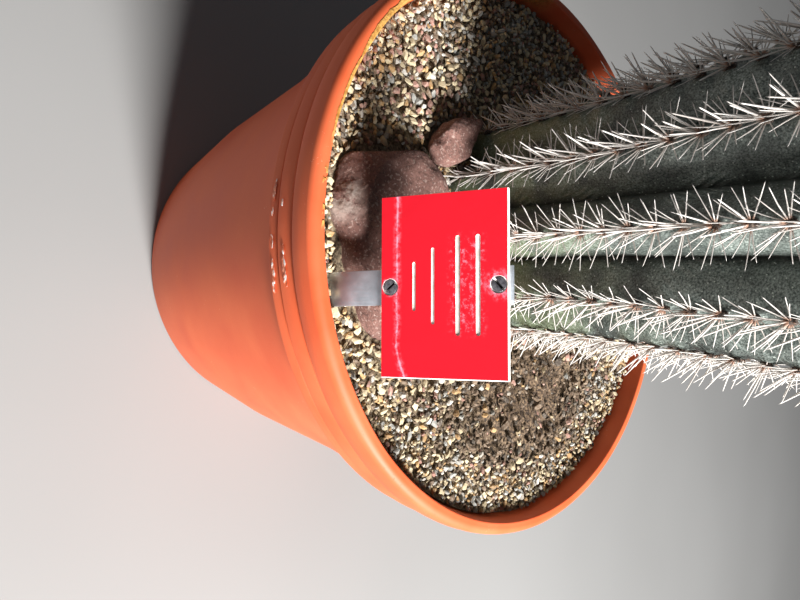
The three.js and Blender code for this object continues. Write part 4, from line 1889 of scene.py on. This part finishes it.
@dataclass
class GravelFill:
    """The grit that fills the pot: a bed of silt, and thousands of stones piled on it by their colours.

    The heap is its place, its spread and its height, the ripple its height and its lengths along X and Y,
    and the bar's place is its middle, half width and half depth.
    """

    pot: Pot
    stem: Stem
    rocks: tuple[Rock, ...] = (SLAB, LOBE)
    heap: Quad = (112.0, -72.0, 52.0, 6.0)
    swell: float = 1.5
    ripple: Triple = (1.3, 7.6, 8.3)
    sunk: float = 2.3
    soil_sunk: float = 0.9
    crumb: float = 1.9
    crumb_size: float = 6.0
    wall_gap: float = 0.5
    bed_rings: int = 92
    bed_sides: int = 260
    cell: float = 1.0
    half_grid: int = 160
    fine_below: float = 2.3
    in_soil: Pair = (0.96, 0.85)
    bar_place: Quad = (22.5, -141.0, 9.0, 3.5)
    sizes: tuple[StoneSize, ...] = (
        StoneSize(3400, 2.6, 4.2, 1),
        StoneSize(4600, 1.4, 2.6, 1),
        StoneSize(240, 6.5, 9.5, 2),
        StoneSize(1900, 4.4, 7.0, 2),
        StoneSize(3800, 3.0, 5.0, 1),
        StoneSize(2000, 1.6, 2.8, 1),
    )

    def level(self, x: Array, y: Array) -> Array:
        """The gravel's height at some places: a heap at the near right, long waves and lumps.

        Args:
            x: How far right the places are.
            y: How far back they are.

        Returns:
            The height at each place.
        """
        heap_x, heap_y, spread, height = self.heap
        heap = height * np.exp(-((x - heap_x) ** 2 + (y - heap_y) ** 2) / spread**2)
        lump, along_x, along_y = self.ripple
        lumps = lump * np.sin(x / along_x + 0.5) * np.sin(y / along_y + 2)
        return GRAVEL_TOP + heap - self.swell * np.sin(x / 31 + 1) * np.cos(y / 37) + lumps

    def soil(self, x: Array, y: Array) -> Array:
        """How much crumbly soil lies among the stones: most beside the stem, on its right."""
        return np.exp(-((((x - 88) / 45) ** 2 + ((y - 8) / 80) ** 2) ** 2))

    @staticmethod
    def zones(x: float, y: float) -> Triple:
        """How far a place lies in the cream front, the pale right rim and the pinkish left mound.

        Args:
            x: How far right the place is.
            y: How far back it is.

        Returns:
            Three shares, in that order.
        """
        front = math.exp(-(((x - 8) / 66) ** 2) - (((y + 146) / 26) ** 2))
        rim = min(max((math.hypot(x, y) - 120) / 18, 0), 1) * min(max((x + 10) / 40, 0), 1)
        mound = math.exp(-(((x + 80) / 32) ** 2) - (((y + 84) / 40) ** 2))
        return front, rim, mound

    def dust(self, x: float, y: float) -> float:
        """How much a stone is dulled: more in the soil, as dust, and less in front, at the left and on the
        mound, which are painted paler as painted light.

        Args:
            x: How far right the place is.
            y: How far back it is.

        Returns:
            The share of it.
        """
        front, _, mound = self.zones(x, y)
        left = min(max(-(x + 60) / 40, 0), 1)
        # Partly painted light: the front, the left and the mound are dulled less, so their stones are painted
        # paler; the soil adds dust
        return 1 - 0.8 * max(front, left, mound) + 0.5 * float(self.soil(x, y))

    def mix(self, x: float, y: float) -> Array:
        """The share of each kind of stone at a place.

        Args:
            x: How far right the place is.
            y: How far back it is.

        Returns:
            The shares, which add up to one.
        """
        shares = np.array([kind.value[1] for kind in Grit])
        brown = (0.06, 0.03, 0.02, 0.05, 0.54, 0.12, 0.18)
        cream = (0.56, 0.33, 0.03, 0.02, 0.03, 0.03, 0.0)
        light = (0.42, 0.15, 0.09, 0.2, 0.09, 0.04, 0.01)
        pinkish = (0.32, 0.1, 0.08, 0.09, 0.12, 0.27, 0.02)
        front, rim, mound = self.zones(x, y)
        soil = float(self.soil(x, y))
        for share, kinds in ((soil, brown), (rim, light), (front, cream), (mound, pinkish)):
            shares = (1 - share) * shares + share * np.array(kinds)
        return shares / shares.sum()

    def bed(self) -> None:
        """Shapes a disc of silt, and draws its edge down the wall to the floor of the pot."""
        rings, sides = self.bed_rings, self.bed_sides
        top = self.pot.inner_radius(GRAVEL_TOP) - self.wall_gap
        floor_z = self.pot.floor + 0.4
        neck_z = self.pot.height - self.pot.collar_height
        angles = 2 * math.pi * np.arange(sides) / sides
        circle = np.stack((np.cos(angles), np.sin(angles)), -1)
        loops = []
        for ring in range(rings, 0, -1):
            flat = circle * top * ring / rings
            spots = [Vector((x, y, 0)) / self.crumb_size for x, y in flat]
            crumbs = np.array([noise.turbulence(spot, 3, False) for spot in spots]) - 0.7
            soil = self.soil(flat[:, 0], flat[:, 1])
            sunk = self.sunk * (1 - soil) + self.soil_sunk * soil
            lift = self.crumb * crumbs * (0.7 + 0.6 * soil) * (1 if ring < rings else 0)
            loops.append(np.column_stack((flat, self.level(flat[:, 0], flat[:, 1]) - sunk + lift)))
        walls = [(self.pot.inner_radius(z) - self.wall_gap, z) for z in (floor_z, 0.5 * neck_z, neck_z)]
        low = [np.column_stack((circle * radius, np.full(sides, z))) for radius, z in walls]
        loops = [*low, *loops]
        points = np.vstack([*loops, [[0, 0, GRAVEL_TOP - self.sunk]], [[0, 0, floor_z]]])
        soil = self.soil(points[:, 0], points[:, 1])
        faces = tube_faces(len(loops), sides)
        last = (len(loops) - 1) * sides
        for side in range(sides):
            after = (side + 1) % sides
            faces += [(last + side, last + after, len(points) - 2), (after, side, len(points) - 1)]
        piece = joined_mesh("gravel_bed", points, np.array(faces), soil=soil)
        smooth(piece, 80.0)
        dress(piece, "gravel_bed", SiltBed(), "gravel", "gravel")

    def clear(self, x: float, y: float, reach: float) -> bool:
        """Whether a stone can lie at a place, clear of the wall, the stem, the bar and the rocks.

        Args:
            x: How far right the place is.
            y: How far back it is.
            reach: How far the stone reaches.

        Returns:
            Whether it can.
        """
        if math.hypot(x, y) > self.pot.inner_radius(GRAVEL_TOP) - 0.3 - reach:
            return False
        dx, dy = x - self.stem.axis_x, y - self.stem.axis_y
        if math.hypot(dx, dy) < float(self.stem.foot_reach(np.array(math.atan2(dy, dx)))) + 0.7 * reach:
            return False
        bar_x, bar_y, wide, deep = self.bar_place
        if abs(x - bar_x) < wide and abs(y - bar_y) < deep:
            return False
        here = np.array([[x, y, self.level(x, y)]])
        return not any(rock.covers(here, 0.4 * reach).any() for rock in self.rocks)

    def pile(self, random: Random) -> dict[Grit, list[tuple]]:
        """Drops the stones one by one, each on what already lies below it.

        Args:
            random: The seeded source of scatter.

        Returns:
            For each kind of stone its places, half sizes and finenesses.
        """
        axis = np.arange(-self.half_grid, self.half_grid + 1) * self.cell
        grid_x, grid_y = np.meshgrid(axis, axis, indexing="ij")
        soil = self.soil(grid_x, grid_y)
        ground = self.level(grid_x, grid_y) - self.sunk * (1 - soil) - self.soil_sunk * soil
        dealt: dict[Grit, list[tuple]] = {kind: [] for kind in Grit}
        kinds = list(Grit)
        limit = self.pot.inner_radius(GRAVEL_TOP)
        for size in self.sizes:
            placed = 0
            while placed < size.count:
                x, y = random.uniform(-limit, limit, 2)
                fine = float(self.soil(x, y))
                if random.random() < fine * self.in_soil[size.low <= self.fine_below]:
                    placed += 0.3
                    continue
                front, _, mound = self.zones(x, y)
                half = 0.5 * random.uniform(size.low, size.high) * (1 + 0.25 * max(front, mound))
                shape = half * random.uniform((1.0, 0.75, 0.55), (1.45, 1.0, 0.85))
                if not self.clear(x, y, shape[0]):
                    placed += 0.02
                    continue
                reach = max(1, int(round(shape[0] / self.cell)))
                i, j = (int(round(value / self.cell)) + self.half_grid for value in (x, y))
                near = np.s_[i - reach : i + reach + 1, j - reach : j + reach + 1]
                window = ground[near]
                rest = 0.5 * (window.mean() + window.max())
                z = rest + 0.45 * shape[2]
                if z + shape[2] > self.level(x, y) + 1.5 + 0.3 * half:
                    placed += 0.3
                    continue
                dome = 1 - ((grid_x[near] - x) ** 2 + (grid_y[near] - y) ** 2) / shape[0] ** 2
                cap = z + shape[2] * np.sqrt(np.clip(dome, 0, 1)) * 0.85
                window[...] = np.where(dome > 0, np.maximum(window, cap), window)
                kind = kinds[int(random.choice(len(kinds), p=self.mix(x, y)))]
                dealt[kind].append((np.array([x, y, z]), shape, size.subdivisions))
                placed += 1
        return dealt

    def build(self) -> None:
        """Makes the bed, and one joined piece for each kind of stone."""
        self.bed()
        random = np.random.default_rng(2024)
        models = {fineness: self.models(fineness, random) for fineness in (1, 2)}
        for kind, stones in self.pile(random).items():
            points, faces, shades, count = [], [], [], 0
            for place, shape, fineness in stones:
                ball, triangles = models[fineness][int(random.integers(len(models[fineness])))]
                turn = random.uniform(0, 2 * math.pi)
                pitch, roll = random.normal(scale=0.35, size=2)
                tipped = Matrix.Rotation(turn, 3, "Z") @ Matrix.Rotation(pitch, 3, "X")
                spin = np.array(tipped @ Matrix.Rotation(roll, 3, "Y"))
                points.append(place + (ball * shape) @ spin.T)
                faces.append(triangles + count)
                # Each stone's darkening mixes random tone, dust in the soil, and painted light that keeps the
                # front, the left and the mound paler
                shades.append(np.full(len(ball), random.uniform(0, 0.55) * self.dust(place[0], place[1])))
                count += len(ball)
            name = f"gravel_{kind.name.lower()}"
            piece = joined_mesh(name, np.vstack(points), np.vstack(faces), shade=np.concatenate(shades))
            smooth(piece, 24.0)
            dress(piece, name, CrushedStone(kind), "gravel", "gravel")

    @staticmethod
    def models(fineness: int, random: Random) -> list[tuple[Array, Array]]:
        """Eight stones of one fineness, each a ball with a few faces split off.

        Args:
            fineness: How finely the ball is divided.
            random: The seeded source of scatter.

        Returns:
            The points and triangles of each stone.
        """
        ball, triangles = unit_ball(fineness)
        made = []
        for _ in range(8):
            points = ball * (1 + 0.1 * random.normal(size=(len(ball), 1)))
            for _ in range(9):
                normal = random.normal(size=3)
                normal /= np.linalg.norm(normal)
                over = np.maximum(points @ normal - random.uniform(0.5, 0.8), 0)
                points = points - over[:, None] * normal
            made.append((points / np.abs(points).max(0), triangles))
        return made


# The label


@dataclass
class PlantLabel:
    """The blank red label: an engraved plate, two countersunk screws with nuts, and a bent flat bar."""

    width: float = 75.0
    height: float = 54.0
    thickness: float = 2.0
    centre: Triple = (21.6, -125.7, RIM_TOP + 41.8)
    tilt_deg: float = 22.4
    yaw_deg: float = -3.2
    roll_deg: float = 1.3
    cap: float = 0.12
    chamfer: float = 0.48
    engraved: float = 0.45
    bar_width: float = 15.0
    bar_thickness: float = 1.5
    bar_above: float = 1.3
    bend_below: float = 42.0
    bend_radius: float = 20.0
    bend_deg: float = 32.0
    bend_steps: int = 14
    foot_length: float = 46.0
    point_length: float = 9.0
    point_share: float = 0.16
    screw_from_edge: float = 3.9
    head_radius: float = 3.1
    head_depth: float = 1.4
    shank_radius: float = 1.5
    thread_pitch: float = 0.5
    thread_depth: float = 0.22
    past_nut: float = 2.0
    slot_width: float = 0.95
    slot_depth: float = 1.2
    slot_turns: Pair = (130.0, 41.0)
    countersink_radius: float = 3.6
    nut_flats: float = 5.5
    nut_height: float = 2.4
    gap: float = 0.3
    round_steps: int = 48
    plate_edge: float = 0.18
    bar_edge: float = 0.22
    screw_edge: float = 0.07
    nut_edge: float = 0.25
    rules: tuple[Triple, ...] = (
        (14.8, 40.0, 1.9),
        (6.4, 40.0, 1.9),
        (-4.2, 31.0, 1.4),
        (-12.4, 20.0, 1.4),
    )

    def frame(self) -> Matrix:
        """Where the plate's own frame goes: yaw, then tilt, then roll.

        Returns:
            The place, in metres.
        """
        turn = (
            Matrix.Rotation(math.radians(self.yaw_deg), 4, "Z")
            @ Matrix.Rotation(-math.radians(self.tilt_deg), 4, "X")
            @ Matrix.Rotation(-math.radians(self.roll_deg), 4, "Y")
        )
        return Matrix.Translation(Vector(self.centre) * MM) @ turn

    def screw_heights(self) -> Pair:
        """The heights of the lower and the upper screw from the plate's centre."""
        reach = self.height / 2 - self.screw_from_edge
        return -reach, reach

    def to_screw(self, piece: Piece, height: float) -> None:
        """Turns a piece made along +Z to face forwards from the plate's front, at a height."""
        turn = Matrix.Rotation(math.pi / 2, 4, "X")
        settle(piece, Matrix.Translation(Vector((0, -self.thickness / 2, height)) * MM) @ turn)

    def fit(self, piece: Piece, *looks: str | Finish) -> None:
        """Moves a piece from the plate's own frame to its place, and dresses it.

        Args:
            piece: The finished piece.
            looks: Its name, finish and slot, and the node that it replaces.
        """
        settle(piece, self.frame())
        smooth(piece, 30.0)
        dress(piece, *looks)

    def plate(self) -> None:
        """Cuts the plate: bevelled edges, countersinks, and engraved rules that bare its core."""
        piece = block((self.width, self.thickness, self.height))
        front = -0.4 * self.thickness * MM
        half_wide, half_high = 0.49 * self.width * MM, 0.49 * self.height * MM
        select_edges(piece, lambda at, way: at.y < front and (at.x > half_wide or at.z > half_high))
        with edit_mode(piece, by_edges=True):
            bpy.ops.mesh.bevel(offset=self.chamfer * MM, segments=1)
        for height in self.screw_heights():
            hole, head = self.shank_radius + self.gap, self.countersink_radius
            foot = (hole, -self.head_depth - self.gap)
            outline = [(0, -4), (hole, -4), foot, (head, 0), (head + 0.6, 0.6), (0, 0.6)]
            sink = turned("countersink", outline, self.round_steps)
            self.to_screw(sink, height)
            cut(piece, sink)
        for height, length, thick in self.rules:
            cut(piece, self.groove(height, length, thick))
        with edit_mode(piece):
            bpy.ops.mesh.select_all(action="SELECT")
            under_cap = (0, (self.cap - self.thickness / 2) * MM, 0)
            bpy.ops.mesh.bisect(plane_co=under_cap, plane_no=(0, 1, 0), use_fill=False)
        break_edges(piece, self.plate_edge, 50)
        piece.data.materials.append(RedLaminate().material())
        piece.data.materials.append(WhiteCore().material())
        behind_cap = (0.75 * self.cap - self.thickness / 2) * MM
        flat = piece.data.uv_layers.new(name="plate")
        for face in piece.data.polygons:
            face.material_index = 0 if face.center.y < behind_cap else 1
            for loop in face.loop_indices:
                corner = piece.data.vertices[piece.data.loops[loop].vertex_index].co
                flat.data[loop].uv = (corner.x / MM / self.width + 0.5, corner.z / MM / self.height + 0.5)
        self.fit(piece, "label_engraved_plate", RedLaminate(), "label_laminate", "label_plate")

    def groove(self, height: float, length: float, thick: float) -> Piece:
        """A round-ended cutter for one engraved rule.

        Args:
            height: The rule's height from the plate's centre.
            length: Its length.
            thick: Its width.

        Returns:
            The cutter.
        """
        cutter = block((length, 2 * self.engraved, thick), (0, -self.thickness / 2, height))
        select_edges(cutter, lambda middle, way: abs(way.y) > 0.9)
        with edit_mode(cutter, by_edges=True):
            bpy.ops.mesh.bevel(offset=0.48 * thick * MM, segments=5)
        return cutter

    def bar(self) -> None:
        """Bends the flat bar: its end is drawn down, spun round the bend and drawn to a point."""
        behind = self.thickness / 2 + self.gap + self.bar_thickness / 2
        top = self.height / 2 + self.bar_above
        size = (self.bar_width, self.bar_thickness, top + self.bend_below)
        piece = block(size, (0, behind, (top - self.bend_below) / 2))
        select_faces(piece, lambda centre, normal: normal.z < -0.9)
        bend = math.radians(self.bend_deg)
        down = Vector((0, math.sin(bend), -math.cos(bend)))
        with edit_mode(piece):
            centre = Vector((0, behind + self.bend_radius, -self.bend_below)) * MM
            bpy.ops.mesh.spin(steps=self.bend_steps, angle=-bend, axis=(1, 0, 0), center=centre)
            straight = (self.foot_length - self.point_length) * MM
            bpy.ops.mesh.extrude_region_move(TRANSFORM_OT_translate={"value": down * straight})
            bpy.ops.mesh.extrude_region_move(TRANSFORM_OT_translate={"value": down * self.point_length * MM})
            bpy.ops.transform.resize(value=(self.point_share, 1, 1))
            close_seams(0.001)
        break_edges(piece, self.bar_edge, 50)
        for height in self.screw_heights():
            hole = rod(self.shank_radius + self.gap, 4 * self.thickness)
            place = Matrix.Translation(Vector((0, behind, height)) * MM)
            settle(hole, place @ Matrix.Rotation(math.pi / 2, 4, "X"))
            cut(piece, hole)
        self.fit(piece, "label_flat_bar", BrushedAluminium(), "label_bar", "label_bar")

    def screw(self, place: str, height: float, turn_deg: float) -> None:
        """Turns a countersunk screw, saws its slot and breaks its edges.

        Args:
            place: Which screw it is.
            height: Its height from the plate's centre.
            turn_deg: The way its slot points.
        """
        tip = -(self.thickness + self.bar_thickness + self.nut_height + 2 * self.gap + self.past_nut)
        outline = [(0, tip), (self.shank_radius - 0.4, tip), (self.shank_radius, tip + 0.5)]
        turns = int((-tip - self.head_depth - 1) / self.thread_pitch)
        for index in range(turns):
            root = tip + 0.6 + self.thread_pitch * index
            outline += [(self.shank_radius - self.thread_depth, root + 0.2), (self.shank_radius, root + 0.45)]
        outline += [
            (self.shank_radius - 0.1, -self.head_depth - 0.1),
            (self.head_radius - 0.08, -0.12),
            (self.head_radius - 0.08, -0.03),
            (self.head_radius - 0.25, 0.03),
            (0, 0.06),
        ]
        piece = turned(f"screw_{place}", outline, self.round_steps)
        saw = block((3 * self.head_radius, self.slot_width, 2 * self.slot_depth))
        settle(saw, Matrix.Rotation(math.radians(turn_deg), 4, "Z"))
        cut(piece, saw)
        break_edges(piece, self.screw_edge, 60)
        piece.data.materials.append(DulledZinc().material())
        piece.data.materials.append(SlotPaintedShade().material())
        # Painted shade: the faces inside the slot get the near-black slot colour
        slot = Matrix.Rotation(-math.radians(turn_deg), 4, "Z")
        for face in piece.data.polygons:
            middle = slot @ face.center / MM
            inside = abs(middle.y) < 0.52 * self.slot_width and -1.1 * self.slot_depth < middle.z < -0.14
            face.material_index = 1 if inside and abs(middle.x) < self.head_radius else 0
        self.to_screw(piece, height)
        self.fit(piece, f"label_slotted_screw_{place}", DulledZinc(), "screws", f"label_screw_{place}")

    def nut(self, place: str, height: float) -> None:
        """Makes a chamfered hexagon nut with a hole for its screw.

        Args:
            place: Which screw it is on.
            height: Its height from the plate's centre.
        """
        behind = self.thickness + self.bar_thickness + self.nut_height + 2 * self.gap
        piece = rod(self.nut_flats / math.sqrt(3), self.nut_height, sides=6)
        break_edges(piece, self.nut_edge, 40)
        cut(piece, rod(self.shank_radius + self.gap, 3 * self.nut_height))
        settle(piece, Matrix.Translation(Vector((0, 0, self.nut_height / 2 - behind)) * MM))
        self.to_screw(piece, height)
        self.fit(piece, f"label_hexagon_nut_{place}", DulledZinc(), "screws", f"label_nut_{place}")

    def build(self) -> None:
        """Makes the plate, the bar, the screws and the nuts."""
        self.plate()
        self.bar()
        for place, height, turn_deg in zip(("lower", "upper"), self.screw_heights(), self.slot_turns):
            self.screw(place, height, turn_deg)
            self.nut(place, height)


def main() -> None:
    """Builds the scene in order."""
    logging.basicConfig(level=logging.INFO, format="%(message)s")
    PhotoCamera().build()
    Studio().build()
    pot = Pot()
    stem = Stem()
    pot.build()
    stem.build()
    SpineRows(stem).build()
    SLAB.build()
    LOBE.build()
    GravelFill(pot, stem).build()
    PlantLabel().build()


if __name__ == "__main__":
    main()
